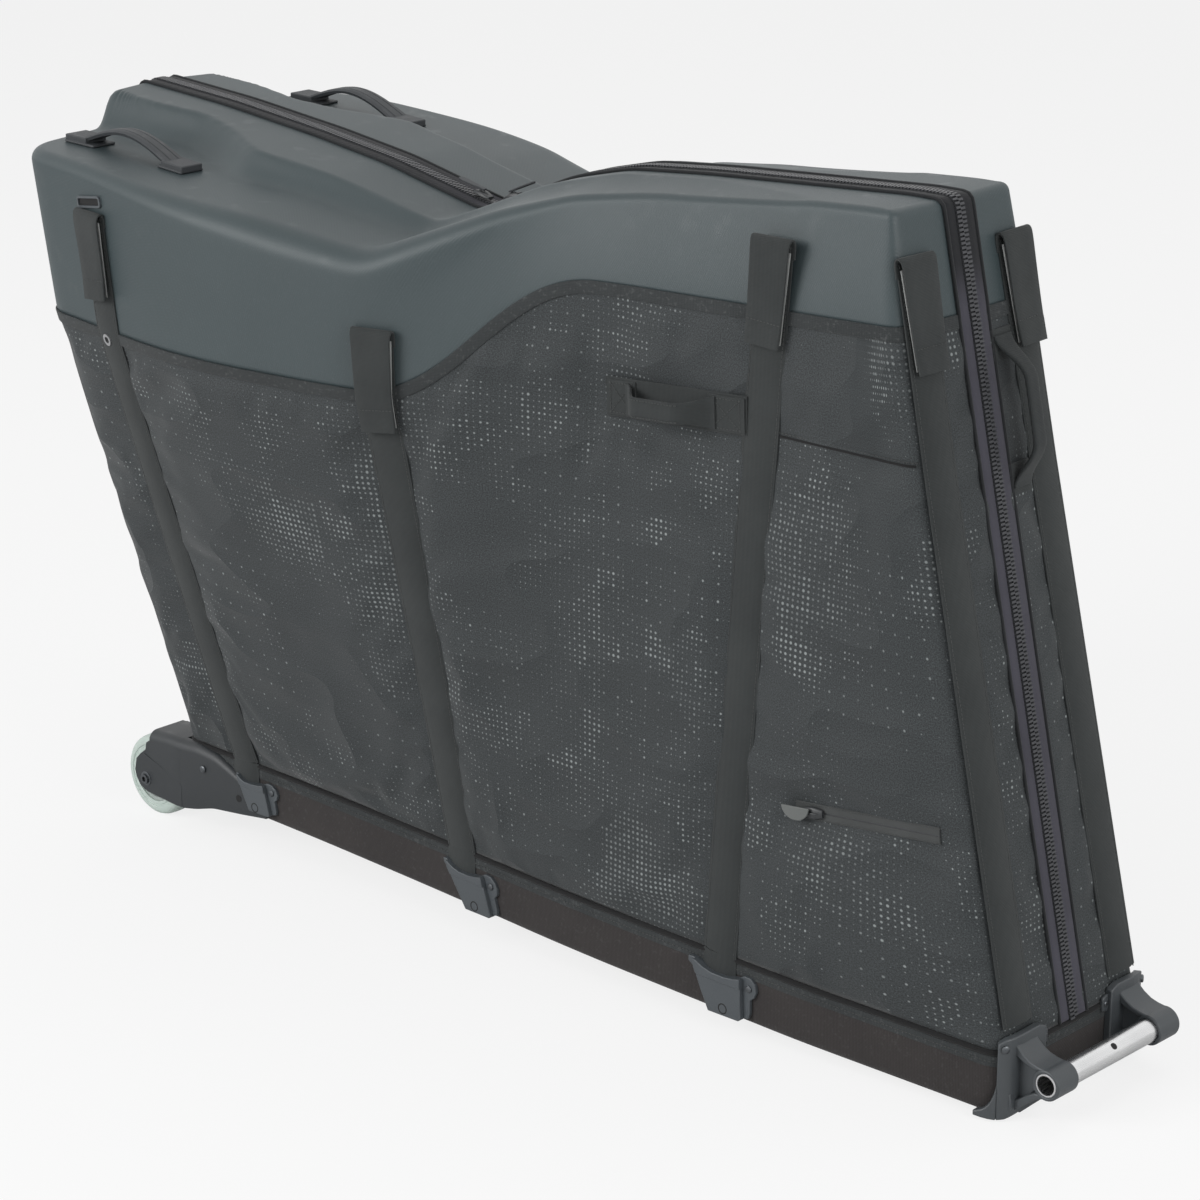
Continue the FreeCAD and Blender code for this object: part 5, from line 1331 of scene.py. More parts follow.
# %% Loop of the side handle
LOOP_RISE = 24.0
xs = np.linspace(PATCH["left"] + 26, PATCH["right"] - 36, 46)
path, across, out, run = line_on_side(xs, patch_z(xs))
share = np.linspace(-1, 1, len(xs))
arch = 6.0 + LOOP_RISE * smooth_share((1 - np.abs(share)) / 0.62)
path = path + out * arch[:, None]
run = unit(np.gradient(path, axis=0))
face = unit(np.cross(run, across))
points, faces = sweep(path, across, face, loop_sections(len(xs), 31, 20, 2.0))
both_sides("grab_loop", points, faces, loop_finish, "webbing", "grab_handle", sharp=60)
fold_lines = [(path + across * side * 8.0 + face * 4.4)[12:-12] for side in (-1, 1)]
stitch_both("grab_seams", seams + fold_lines, thread_finish, 3.6, 2.5)

# %% Upright handle at the tube end
TAIL_LOOP = {"half": 34.0, "middle": 618.0, "reach": 68.0}
zs = np.linspace(TAIL_LOOP["middle"] - TAIL_LOOP["reach"], TAIL_LOOP["middle"] + TAIL_LOOP["reach"], 44)
path, along, up, out = wall_frame(tail_column(np.full(len(zs), TAIL_LOOP["half"]), zs), zs)
share = np.linspace(-1, 1, len(zs))
arch = 2.5 + LOOP_RISE * smooth_share((1 - np.abs(share)) / 0.6)
path = path + out * arch[:, None]
run = unit(np.gradient(path, axis=0))
across = unit(np.cross(run, out))
face = unit(np.cross(across, run))
points, faces = sweep(path, across, face, loop_sections(len(zs), 26, 17, 2.2))
points, faces = mirrored(points, faces)
tail_loop = make_piece("tail_grab_loop", points, faces, loop_finish, 60)
dress(tail_loop, "far_half", "webbing", "end_grab_handle")
pads = []
for low, high in ((-74, -46), (46, 74)):
    zs = np.linspace(TAIL_LOOP["middle"] + low, TAIL_LOOP["middle"] + high, 7)
    base, along, up, out = wall_frame(tail_column(np.full(len(zs), TAIL_LOOP["half"]), zs), zs)
    pads.append(sweep(base, along, out, tape_section(30, 2.0, 0.8)))
points, faces = mirrored(*together(*pads))
tail_pads = make_piece("tail_grab_pads", points, faces, webbing_finish, 50)
dress(tail_pads, "far_half", "webbing")
print("grab handles made")

# %% [markdown]
# ## Handles on the lobes
# Each lobe has a strap handle of soft plastic: a low arch with grooves along it, held at both ends by
# a moulded cap that is screwed through the shell. The arch is a grooved section carried along a curve;
# each cap is a low block on a thin plate.

# %% Top handles
GRIP_HALF = 158.0
GRIP_LEFT, GRIP_RIGHT = -81.0, 110.0
BLOCK_LONG = 34.0
GRIP_RISE = 17.0


def on_lobe(xs):
    """Points and directions on the lobe's top along the handle."""
    xs = np.asarray(xs, float)
    spots = np.stack([xs, np.full(len(xs), -GRIP_HALF), crown(xs, np.full(len(xs), GRIP_HALF))], -1)
    run = unit(np.gradient(spots, axis=0))
    across = np.repeat([[0.0, -1.0, 0.0]], len(xs), 0)
    return spots, across, unit(np.cross(across, run)) * -1, run


def grip_section(wide, thick):
    """A flat bar with two grooves along its top."""
    half = wide / 2
    left = [(-half, thick * 0.55), (-half + 1.5, thick * 0.9), (-half * 0.5, thick),
            (-half * 0.42, thick - 1.1), (-half * 0.34, thick)]
    top = left + [(-across, height) for across, height in reversed(left)]
    return top + [(half - 1.2, 0), (-half + 1.2, 0)]


xs = np.linspace(GRIP_LEFT + BLOCK_LONG - 6, GRIP_RIGHT - BLOCK_LONG + 6, 60)
spots, across, up, run = on_lobe(xs)
share = np.linspace(-1, 1, len(xs))
arch = 2.8 + GRIP_RISE * np.cos(share * math.pi / 2)
path = spots + np.array([0, 0, 1]) * arch[:, None]
run = unit(np.gradient(path, axis=0))
up = unit(np.cross(run, across)) * np.sign(np.cross(run, across)[:, 2:])
widths = 25 - 3 * np.cos(share * math.pi / 2)
sections = np.array([grip_section(wide, 5.5) for wide in widths])
points, faces = sweep(path, across, up, sections)
both_sides("lobe_grip", points, faces, grip_finish, "grip_rubber", "top_handle", sharp=45)
print("grip rises", GRIP_RISE, "mm")


# %% Caps of the top handles
def low_block(start, end, wide, high):
    """A flat block that follows the lobe between two places along it."""
    spots, across, up, run = on_lobe(np.linspace(start, end, 9))
    shape = [(-wide / 2, 0), (-wide / 2, high), (wide / 2, high), (wide / 2, 0)]
    return sweep(spots, across, up * np.sign(up[:, 2:]), shape)


points, faces = together(
    low_block(GRIP_LEFT, GRIP_LEFT + BLOCK_LONG, 28, 8.8), low_block(GRIP_LEFT, GRIP_LEFT + 48, 30, 3.0),
    low_block(GRIP_RIGHT - BLOCK_LONG, GRIP_RIGHT, 28, 8.2),
    low_block(GRIP_RIGHT - 38, GRIP_RIGHT, 30, 3.0))
caps = both_sides("grip_caps", points, faces, grip_finish, "moulded_plastic", "handle_caps", sharp=40)
for piece in caps:
    edge = piece.modifiers.new("edge", "BEVEL")
    edge.width = 0.0012
    edge.segments = 2
print("top handles made")

# %% [markdown]
# ## Base tub
# The base is a stiff tray covered in plain cloth, with a sewn band round its rim. Its outline is the
# wall's lowest outline and its mirror image, joined to a ring; the profile of the tray is carried
# round that ring, and two wide faces close the floor.

# %% Tray and rim band
base_line = wall(every, LEVELS[0]) * (1, 1, 0)
ring = np.concatenate([base_line, (base_line * (1, -1, 1))[::-1]])
ring_run = unit(np.roll(ring, -1, 0) - np.roll(ring, 1, 0))
ring_out = np.stack([ring_run[:, 1], -ring_run[:, 0], np.zeros(len(ring))], -1)
TRAY = ((-14, 0.0), (-8, 0.6), (-3.5, 3.0), (-0.8, 7.0), (0, 12), (0.5, 30), (0.4, 50), (0, 62),
        (-0.6, 65.6), (-3.4, 65.6), (-4.0, 62), (-4.2, 10), (-6, 4.4), (-14, 4.0))


def round_the_base(profile, shut):
    """A profile of (outwards, height) carried round the base; shut closes it with floors or as a ring."""
    points = np.stack([ring + ring_out * reach + (0, 0, z) for reach, z in profile], 1)
    count, rows = points.shape[:2]
    faces = grid_faces(count, rows, ring=True)
    faces += end_faces(count, rows) if shut == "floors" else closing_faces(count, rows)
    points = points.reshape(-1, 3)
    return points, outward(points, faces)


points, faces = round_the_base(TRAY, "floors")
dress(make_piece("base_tray", points, faces, base_cloth_finish, 50), "base", "base_cloth", "base_tub")
# The band is a real sewn band; its near-black tone is painted shade of the gap under the panel's lower
# edge.
band = ((0.2, 60.6), (1.3, 61.0), (2.0, 62.4), (2.0, 64.2), (1.2, 65.6), (0.2, 66.0), (-1.0, 65.8),
        (-1.0, 61.0))
points, faces = round_the_base(band, "ring")
dress(make_piece("base_rim_band_painted_shade", points, faces, painted_gap_shade_finish, 50), "base", "binding")
lip = ((-6.4, 58), (-6.4, 69.5), (-7.2, 69.5), (-7.2, 58))
points, faces = round_the_base(lip, "ring")
dress(make_piece("base_rim_lip", points, faces, inside_finish, 50), "base", "base_cloth")
print("base ring points", len(ring))

# %% [markdown]
# ## Cloth at the fold
# The halves fold out on cloth, not on metal hinges. A strip inside the wall is sewn to the base below
# the fold and to the half above it. A rigid strip would tear away from one of the two; here each side
# is one still strip that rides on no body.

# %% Hinge cloth
HINGE_DEEP = (-5.0, -5.7)
HINGE_LOW, HINGE_HIGH = -9, 22
HINGE_FIXED, HINGE_FREE = 63.0, 80.0
hinge_columns = np.linspace(FIRST_SIDE, LAST_SIDE, 80)
path, along, up, out = wall_frame(hinge_columns, np.full(len(hinge_columns), LEVELS[0]))
outwards = unit(out * (1, 1, 0))
rises = np.linspace(HINGE_LOW, HINGE_HIGH, 16)
strip = [(rise, HINGE_DEEP[0]) for rise in rises] + [(rise, HINGE_DEEP[1]) for rise in rises[::-1]]
points, faces = sweep(path, np.repeat([[0.0, 0.0, 1.0]], len(path), 0), outwards, strip)
for side in ("near", "far"):
    if side == "far":
        points, faces = mirrored(points, faces)
    hinge = make_piece(side + "_hinge_cloth", points, faces, inside_finish, 50)
    across = points[:, 1].mean()
    middle = points[:, 0].mean()
    low, high = stand(np.array([[middle, across, HINGE_FIXED], [middle, across, HINGE_FREE]]))
    side + "_half"
    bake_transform(hinge)
print("hinge cloth bends from", HINGE_FIXED, "to", HINGE_FREE, "mm up")

# %% [markdown]
# ## Tape round the rim
# A flat tape with one row of stitches covers the seam where the cloth is folded over the tray's rim. It
# is another profile carried round the base, and its stitches come from the same tree as the others.

# %% Tape and seam round the rim
tape = ((0.3, 49.6), (1.0, 50.0), (1.1, 59.6), (0.4, 60.4), (-0.8, 60.4), (-0.8, 49.6))
points, faces = round_the_base(tape, "ring")
dress(make_piece("base_rim_tape", points, faces, binding_finish, 50), "base", "binding")
seam = ring + ring_out * 1.3 + (0, 0, 55.0)
rim_seam = run_tree("base_rim_seam", stitch_tree, [np.concatenate([seam, seam[:1]])], thread_finish,
                    Pitch=4.4, Length=3.0, Width=0.5)
dress(rim_seam, "base", "cord")

# %% [markdown]
# ## Plates in mouldings
# Sockets, housings and brackets are flat mouldings with a thickness, ribs and bosses. One helper
# extrudes an outline between two depths in a local frame, another does the same with a hole in the
# plate, and a bevel softens every edge, as a mould does.


# %% Helper for moulded plates
def plate(shape, near_depth, far_depth, origin, along, up, out):
    """An outline of (along, up) points made solid between two depths outwards."""
    shape = np.asarray(shape, float)
    flat = np.asarray(origin) + shape[:, :1] * along + shape[:, 1:] * up
    points = np.concatenate([flat + np.asarray(out) * near_depth, flat + np.asarray(out) * far_depth])
    count = len(shape)
    faces = [tuple(range(count)), tuple(range(count, 2 * count))]
    for corner in range(count):
        after = (corner + 1) % count
        faces.append((corner, after, count + after, count + corner))
    return points, outward(points, faces)


def ring_plate(outer, inner, low, high, origin, along, up, out):
    """A plate with a hole: two outlines with the same number of points, between two depths."""
    count = len(outer)
    loops = []
    for outline, depth in ((outer, low), (outer, high), (inner, high), (inner, low)):
        outline = np.asarray(outline, float)
        flat = np.asarray(origin) + outline[:, :1] * along + outline[:, 1:] * up
        loops.append(flat + np.asarray(out) * depth)
    points = np.stack(loops, 1).reshape(-1, 3)
    faces = grid_faces(count, 4, ring=True) + closing_faces(count, 4)
    return points, outward(points, faces)


def circle(radius, count=32, wide=0.0, high=0.0):
    """A circle, or a rectangle with round corners when wide and high are the straight parts."""
    turns = np.linspace(0, 2 * math.pi, count, endpoint=False) + math.pi / count
    way = np.stack([np.cos(turns), np.sin(turns)], -1)
    return way * radius + np.sign(way) * (wide / 2, high / 2)


def disc(centre, radius, low, high, along, up, out, count=20, dome=0.0):
    """A round boss that stands outwards; dome lowers its rim."""
    turns = np.linspace(0, 2 * math.pi, count, endpoint=False)
    circle = np.cos(turns)[:, None] * np.asarray(along) + np.sin(turns)[:, None] * np.asarray(up)
    steps = [(radius, low), (radius, high - dome), (radius * 0.8, high - dome * 0.3), (radius * 0.45, high)]
    spot, away = np.asarray(centre), np.asarray(out)
    rings = np.stack([spot + circle * reach + away * depth for reach, depth in steps], 1)
    rows = len(steps)
    faces = grid_faces(count, rows, ring=True) + end_faces(count, rows)
    points = rings.reshape(-1, 3)
    return points, outward(points, faces)


def soften(pieces, width):
    """Rounds the edges of mouldings by a width in millimetres."""
    for piece in pieces:
        edge = piece.modifiers.new("edge", "BEVEL")
        edge.width = width / 1000
        edge.segments = 2
        edge.limit_method = "ANGLE"
        edge.angle_limit = math.radians(32)


X_AXIS, Y_AXIS, Z_AXIS = np.eye(3)
print("plate helpers ready")

# %% [markdown]
# ## Rod sockets
# Each rod ends in a socket on the base: a sleeve that narrows downwards, with a hooked corner on one
# side, an ear with a rivet on the other and a round dimple below its mouth. It is made of flat plates
# that share one frame, set on the base where its sleeve comes down; a short foot of webbing belongs
# to the base, so the sleeve can fold at the base's rim.

# %% Outlines of a socket
SOCKET_RIM, SOCKET_DROP = 54, 48
SOCKET_BODY = ((-13, 5), (26, 6), (29, 9), (28, 30), (27, 50), (20, 48), (8, 46.4), (-8, 46.4),
               (-20, 49), (-30, 53.6), (-33, 53), (-32, 45), (-25, 29))
SOCKET_LIP = ((-29, 40), (27.5, 40), (27.4, 51), (20, 49), (8, 47.2), (-8, 47.2), (-20, 49.8),
              (-30, 54.4), (-33, 54), (-32, 46))
SOCKET_HOOK = ((-41, 49), (-30, 42), (-28, 53), (-35, 55), (-41, 54.5))
SOCKET_EAR = ((25, 8), (35, 10), (37, 16), (37, 30), (42, 34), (44.5, 41), (43, 48), (38, 53),
              (30, 53.6), (25, 51))
SOCKET_FITS = {
    "first": {"lean": 9.0, "along": 6.0, "left": 0.45, "top": 49.0, "tall": 0.78},
    "second": {"lean": 14.0, "along": 8.0, "left": 0.78, "top": 49.0, "tall": 0.94},
    "third": {"lean": 0.0, "along": 4.0, "left": 1.0, "top": 53.0, "tall": 1.0},
}


def fitted(shape, fit):
    """A socket's outline leaned towards its foot and fitted to its place on the base."""
    points = []
    for across, height in shape:
        below = SOCKET_RIM - height
        side = across * (fit["left"] if across < 0 else 1)
        lean = fit["lean"] * below / SOCKET_DROP
        points.append((side + fit["along"] + lean, fit["top"] - below * fit["tall"]))
    return points


print("socket outlines", len(SOCKET_FITS))

# %% Set the sockets on the base
sockets = []
rivets = []
dimples = []
feet = []
for name, fit in SOCKET_FITS.items():
    column = sleeve_line(name, np.array([LEVELS[0]]))
    here, along, up, out = wall_frame(column, LEVELS[0] + 0.5)
    origin, along = here[0] * (1, 1, 0), along[0] * (1, 1, 0)
    out = np.array([along[1], -along[0], 0.0])
    place = (origin, along, Z_AXIS, out)
    for shape, deep in ((SOCKET_BODY, 8.4), (SOCKET_LIP, 9.6), (SOCKET_HOOK, 6.0), (SOCKET_EAR, 4.0)):
        sockets.append(plate(fitted(shape, fit), 0.0, deep, *place))
    ((dimple_x, dimple_z), (rivet_x, rivet_z)) = fitted(((6, 13), (35.5, 42)), fit)
    spot = origin + along * dimple_x + Z_AXIS * dimple_z
    # The dimple is a thin near-black ring, not a recess: painted shade of its hollow.
    dimples.append(ring_plate(circle(5.6, 24), circle(4.4, 24), 7.6, 8.55, spot, along, Z_AXIS, out))
    spot = origin + along * rivet_x + Z_AXIS * rivet_z
    rivets.append(disc(spot, 3.7, 3.6, 6.2, along, Z_AXIS, out, 18, 1.2))
    heights = np.array([42.0, 48.0, 54.0, 60.0, FOLD_Z - 0.1])
    path, across, lift, run = sleeve_frames(columns_of(name, heights), heights)
    feet.append(sweep(path, across, lift, strap_section(SLEEVE_WIDE, SLEEVE_THICK, 0.2)))
points, faces = together(*feet)
both_sides("sleeve_feet", points, faces, webbing_finish, "webbing", None, "base", 50)
# Painted shade rings for the dimples.
points, faces = together(*dimples)
both_sides("socket_dimple_painted_shades", points, faces, painted_hole_shade_finish, "moulded_plastic", None, "base", 50)
points, faces = together(*sockets)
socket_pieces = both_sides(
    "socket_mouldings", points, faces, socket_finish, "moulded_plastic", "rod_sockets", "base", 35)
soften(socket_pieces, 1.1)
far_rivets = [mirrored(*rivet) for rivet in rivets]
points, faces = together(*rivets, *far_rivets)
rivet_heads = make_piece("socket_rivet_heads", points, faces, dark_steel_finish, 30)
dress(rivet_heads, "base", "steel", "socket_rivets")
print("sockets", len(SLEEVES) * 2)

# %% Slot and eyelet of the first sleeve
SLOT_TILT = math.radians(9)
slot_z = np.array([700.0])
here, along, up, out = wall_frame(columns_of("first", slot_z), slot_z)
slanted = along[0] * math.cos(SLOT_TILT) + up[0] * math.sin(SLOT_TILT)
upright = up[0] * math.cos(SLOT_TILT) - along[0] * math.sin(SLOT_TILT)
slot_place = (here[0] - along[0] * 3, slanted, upright, out[0])
points, faces = ring_plate(circle(4.2, 32, 36, 4), circle(1.8, 32, 36, 4), -1.5, 2.4, *slot_place)
both_sides("strap_slot", points, faces, socket_finish, "moulded_plastic", sharp=40)
# Painted shade: a flat near-black plate fills the slot in place of its dark opening.
points, faces = plate(circle(2.2, 32, 36, 4), -1.5, 0.5, *slot_place)
both_sides("strap_slot_painted_shade", points, faces, painted_hole_shade_finish, "moulded_plastic", sharp=40)
eyelet_z = np.array([557.0])
here, along, up, out = wall_frame(columns_of("first", eyelet_z), eyelet_z)
eyelet_place = (here[0], along[0], up[0], out[0])
points, faces = ring_plate(circle(6.6, 28), circle(3.6, 28), 3.8, 5.6, *eyelet_place)
both_sides("strap_eyelet", points, faces, steel_finish, "steel", sharp=40)
# Painted shade: a flat near-black disc fills the eyelet in place of its dark hole.
points, faces = plate(circle(3.8, 28), 3.8, 4.7, *eyelet_place)
both_sides("strap_eyelet_painted_shade", points, faces, painted_hole_shade_finish, "steel", sharp=40)
print("slot and eyelet made")

# %% [markdown]
# ## Wheels and their housings
# A housing is a bent plate: an outer cheek round the wheel, a tail that slants in along the base, an
# inner cheek, a roof over the wheel and a web to the base. The wheel is clear plastic with rings turned
# into its side. Anything round is a profile spun about the axle, so one helper spins points.


# %% Helpers for turned pieces
def spun(profile, centre, count=64):
    """A closed profile of (radius, along y) turned about a crosswise axle."""
    turns = np.linspace(0, 2 * math.pi, count, endpoint=False)
    ways = np.cos(turns)[:, None] * X_AXIS + np.sin(turns)[:, None] * Z_AXIS
    points = np.stack([np.asarray(centre) + ways * radius + Y_AXIS * side for radius, side in profile], 1)
    rows = len(profile)
    faces = grid_faces(count, rows, ring=True) + closing_faces(count, rows)
    points = points.reshape(-1, 3)
    return points, outward(points, faces)


def there_and_back(half):
    """A profile followed by its mirror image in the second number."""
    return list(half) + [(first, -second) for first, second in reversed(half)]


print("turning helpers ready")

# %% Wheels
AXLE = np.array([-57.0, -96.0, 2.0])
TREAD = [(30.2, -15), (33, -15), (33.6, -14.2), (36.4, -14.2), (37, -15), (40, -15), (43, -13.8),
         (45.4, -11.4), (46.7, -7), (47, 0)]
tyre_profile = TREAD + [(radius, -side) for radius, side in reversed(TREAD[:-1])]
HUB = [(11.2, -12.6), (14, -12.6), (14.6, -9), (16.5, -8.2), (25, -8.2), (26.4, -12.8), (30, -13)]
points, faces = spun(tyre_profile, AXLE)
both_sides("wheel_tyre", points, faces, tyre_finish, "tyre_rubber", "tyre", "wheel", 40)
spokes = []
for turn in range(6):
    angle = turn * math.pi / 3
    way = math.cos(angle) * X_AXIS + math.sin(angle) * Z_AXIS
    side = math.cos(angle) * Z_AXIS - math.sin(angle) * X_AXIS
    spokes.append(plate(((14, -2), (26, -1.6), (26, 1.6), (14, 2)), -12, 12, AXLE, way, side, Y_AXIS))
points, faces = together(spun(there_and_back(HUB), AXLE, 48), *spokes)
both_sides("wheel_hub", points, faces, core_finish, "core_plastic", "wheel_core", "wheel", 40)
print("wheels made, radius", TREAD[-1][0], "mm")

# %% Outlines of a housing
CREASE = 8.0
NOSE_CHEEK = ((-40, 49), (-50, 49.5), (-55, 46), (-57, 37), (-66, 30), (-74, 22), (-77, 8), (-75, -1),
              (-68, -10), (-56, -14), (-40, -14.5))
NOSE = ((-60, 31.5), (-67, 28), (-73.3, 21), (-76, 8), (-74, -0.6), (-67.4, -9.2), (-56, -13),
        (-35, -13.6), (-8, -16), (3, -15.4), (3, 9), (-16, 17), (-36, 25))
INNER_CHEEK = ((-44, 61), (-52, 40), (-74, 14), (-72, -6), (-57, -16), (-2, -16), (-2, 61))
roof_height = smooth_line(
    (-49, -20, 8, 30, 60, 85, 108, 125, 139), (61, 63.5, 64, 65.5, 61, 50, 38.5, 28, 17), 9)
under_height = smooth_line((-49, -10, 8, 28, 55, 101, 139), (-14, -16.5, -16, -12, -4, 1, 6), 7)
cheek_depth = smooth_line((-49, -2, 10, 139), (121.5, 121.5, 120.9, 112.5), 7)


def bent_shell(start, end, inner, count):
    """The outer cheek and the roof as one bent sheet between two places along the base."""
    xs = np.linspace(start, end, count)
    sections = []
    for top, low, reach in zip(roof_height(xs), under_height(xs), cheek_depth(xs)):
        bend = min(11.0, (top - low) * 0.45, reach - inner - 0.5)
        thin = min(4.5, bend)
        curve = [(reach - bend + bend * math.cos(turn), top - bend + bend * math.sin(turn))
                 for turn in np.linspace(0, math.pi / 2, 6)]
        back = [(inner, top), (inner, top - thin), (reach - bend, top - thin),
                (reach - thin, top - bend), (reach - thin, low)]
        sections.append([(reach, low)] + curve + back)
    path = xs[:, None] * X_AXIS
    return sweep(path, np.repeat([-Y_AXIS], count, 0), np.repeat([Z_AXIS], count, 0), np.array(sections))


print("housing", roof_height(0.0).round(1), "mm high at the base's corner")

# %% Put the housings together
y_place = (np.zeros(3), X_AXIS, Z_AXIS, -Y_AXIS)
nose_run = unit(np.array([1.0, 0.012, 0.0]))
nose_place = (np.zeros(3), nose_run, Z_AXIS, np.array([nose_run[1], -nose_run[0], 0]))
slant = unit(np.array([131.0, 9.0, 0.0]))
tail_place = (np.array([CREASE, -121.5, 0]), slant, Z_AXIS, np.array([slant[1], -slant[0], 0]))
housing = [
    plate(NOSE_CHEEK, 116, 121.4, *y_place),
    plate(NOSE, 120, 121.5, *nose_place),
    bent_shell(-49, 3, 72, 16),
    bent_shell(3, 139, 107.8, 36),
    plate(((-6, -16), (-0.4, -16), (-0.4, 61), (-6, 61)), 70, 117, *y_place),
    plate(INNER_CHEEK, 70, 75.4, *y_place),
    plate(((-0.4, -2), (74, -2), (74, 6), (40, 40), (-0.4, 58)), 107, 111, *y_place),
]
points, faces = together(*housing)
housing_pieces = both_sides(
    "housing_moulding", points, faces, moulded_finish_grey, "moulded_plastic", "wheel_housing", "base", 35)
soften(housing_pieces, 1.2)
print("housing plates", len(housing))

# %% Axle bolts and screws
bolt_spot = AXLE * (1, 0, 1)
tail_spot = tail_place[0]
tail_axes = tail_place[1:]
bolt = [disc(bolt_spot, 8.4, 121, 123.2, X_AXIS, Z_AXIS, -Y_AXIS, 28, 0.6),
        ring_plate(circle(5.8), circle(3.0), 122.8, 125.6, bolt_spot, X_AXIS, Z_AXIS, -Y_AXIS),
        spun([(1.5, 75), (3.9, 75), (3.9, 121), (1.5, 121)], bolt_spot + (0, -196, 0), 20),
        disc(tail_spot + slant * 34 + Z_AXIS * 40, 4.0, -0.4, 2.4, *tail_axes, 18, 1.0)]
points, faces = together(*bolt)
both_sides("axle_fasteners", points, faces, dark_steel_finish, "steel", "axle_bolt", "base", 30)
# Painted shade: thin near-black discs stand for the screw hole and the bolt's bore.
holes = [disc(tail_spot + slant * 89 + Z_AXIS * 19, 4.2, -0.4, 0.15, *tail_axes, 18),
         disc(bolt_spot, 3.1, 122.6, 123.6, X_AXIS, Z_AXIS, -Y_AXIS, 6)]
points, faces = together(*holes)
both_sides("housing_painted_hole_shade", points, faces, painted_hole_shade_finish, "moulded_plastic", None, "base", 30)
print("bolts and screws", len(bolt))

# %% [markdown]
# ## Corner brackets and the tube handle
# At the other end two brackets wrap the corners of the base, stand on the floor with a foot and hold
# the tube handle in their ears. An ear is a bored ring on two arms with a thin web between them, so
# its side shows a hollow and the tube's open end. The part that wraps the corner follows the base's
# outline: its upper and lower edges are tables over the angle that the outline has turned.

# %% Outlines of a bracket
BASE_END = 1147.0
TUBE_X, TUBE_Z, TUBE_RADIUS = 1188.0, 44.0, 11.5
EAR_RADIUS = 15.0
UPPER_ARM = ((1151, 76), (1156, 71), (1162, 66), (1170, 61.6), (1178, 59.6), (1187, 58.6),
             (1184, 56.4), (1176, 55), (1168, 56.5), (1159, 60), (1151, 64))
LOWER_ARM = ((1151, 5), (1160, 12), (1170, 20.5), (1179, 27.5), (1186, 29.4), (1183, 32),
             (1176, 32.5), (1167, 27), (1158, 20), (1151, 17))
WEB = ((1151, 72), (1161, 62), (1172, 57), (1174.6, 48), (1174.6, 40), (1172, 31), (1161, 20), (1151, 12))
foot_z = float((-SET_UP + 0.4 + math.sin(TILT) * BASE_END) / math.cos(TILT))
FOOT_TOE = ((-36, 3), (6, 26), (7.6, 16), (6, 8), (2, 2.4))
FOOT_SOLE = ((-4, 0.6), (-10, 0), (-24, 0), (-34, 1.4))
foot = [(BASE_END + along, height) for along, height in FOOT_TOE]
foot += [(BASE_END + along, foot_z + height) for along, height in FOOT_SOLE]
print("foot reaches down to", round(foot_z, 1))

# %% Plate round the corner
corner_line, corner_out = even_line(base_line[::-1], 1.5, ring_out[:COLUMNS][::-1])
corner_turn = np.degrees(np.arctan2(-corner_out[:, 1], corner_out[:, 0]))


def wrapped(first, last, lows, highs):
    """A plate round the corner; its edges are tables of (angle, height)."""
    keep = (corner_turn >= first) & (corner_turn <= last)
    keep &= (corner_line[:, 1] < -80) & (corner_line[:, 0] > 1122)
    spots, out, turn = corner_line[keep], corner_out[keep], corner_turn[keep]
    low = np.interp(turn, *zip(*lows))
    high = np.interp(turn, *zip(*highs))
    rings = []
    for reach, height in ((0.2, low), (0.2, high), (8.0, high), (8.0, low)):
        rings.append(spots * (1, 1, 0) + out * reach + height[:, None] * Z_AXIS)
    points = np.stack(rings, 1)
    count = len(points)
    faces = grid_faces(count, 4)
    faces += [(n * 4 + 3, n * 4 + 7, n * 4 + 4, n * 4) for n in range(count - 1)]
    faces += [(0, 1, 2, 3), tuple(count * 4 - 4 + n for n in range(4))]
    points = points.reshape(-1, 3)
    return points, outward(points, faces)


print("corner points", len(corner_line))

# %% Put the brackets together
front = ((50, 4), (86, 2), (86, 81.5), (60, 82), (50, 78))
front_place = (np.array([BASE_END, 0, 0]), -Y_AXIS, Z_AXIS, X_AXIS)
tube_spot = np.array([TUBE_X, 0, TUBE_Z])
bracket = [
    plate(front, 0.2, 8.0, *front_place),
    plate(((42, 58), (51, 56), (51, 74), (42, 71)), 0.2, 4.0, *front_place),
    wrapped(-5, 54, ((0, 4), (30, 0), (54, -0.6)), ((0, 81.5), (30, 80), (46, 77), (54, 74))),
    wrapped(48, 89, ((48, -0.6), (89, 0.5)), ((48, 36), (54, 26), (62, 17), (74, 10), (89, 5))),
    plate(foot, 56, 100, *y_place),
    ring_plate(circle(EAR_RADIUS, 40), circle(TUBE_RADIUS + 0.1, 40), 63, 94,
               tube_spot, X_AXIS, Z_AXIS, -Y_AXIS),
    plate(UPPER_ARM, 63.3, 93.7, *y_place),
    plate(LOWER_ARM, 63.3, 93.7, *y_place),
    plate(WEB, 70, 87, *y_place),
]
points, faces = together(*bracket)
bracket_pieces = both_sides(
    "corner_bracket", points, faces, bracket_finish, "moulded_plastic", "end_bracket", "base", 35)
soften(bracket_pieces, 1.2)
at = int(np.argmin(np.abs(corner_turn - 34)))
corner_way = unit(np.cross(Z_AXIS, corner_out[at]))
rivet_spot = corner_line[at] * (1, 1, 0) + Z_AXIS * 71
bracket_rivet = [
    disc(rivet_spot, 3.9, 7.6, 10.4, corner_way, Z_AXIS, corner_out[at], 18, 1.0),
    disc((BASE_END, -46.5, 65), 2.8, 3.6, 5.4, -Y_AXIS, Z_AXIS, X_AXIS, 18, 0.8)]
points, faces = together(*bracket_rivet)
both_sides("bracket_rivet", points, faces, dark_steel_finish, "steel", None, "base", 30)
print("bracket plates", len(bracket))

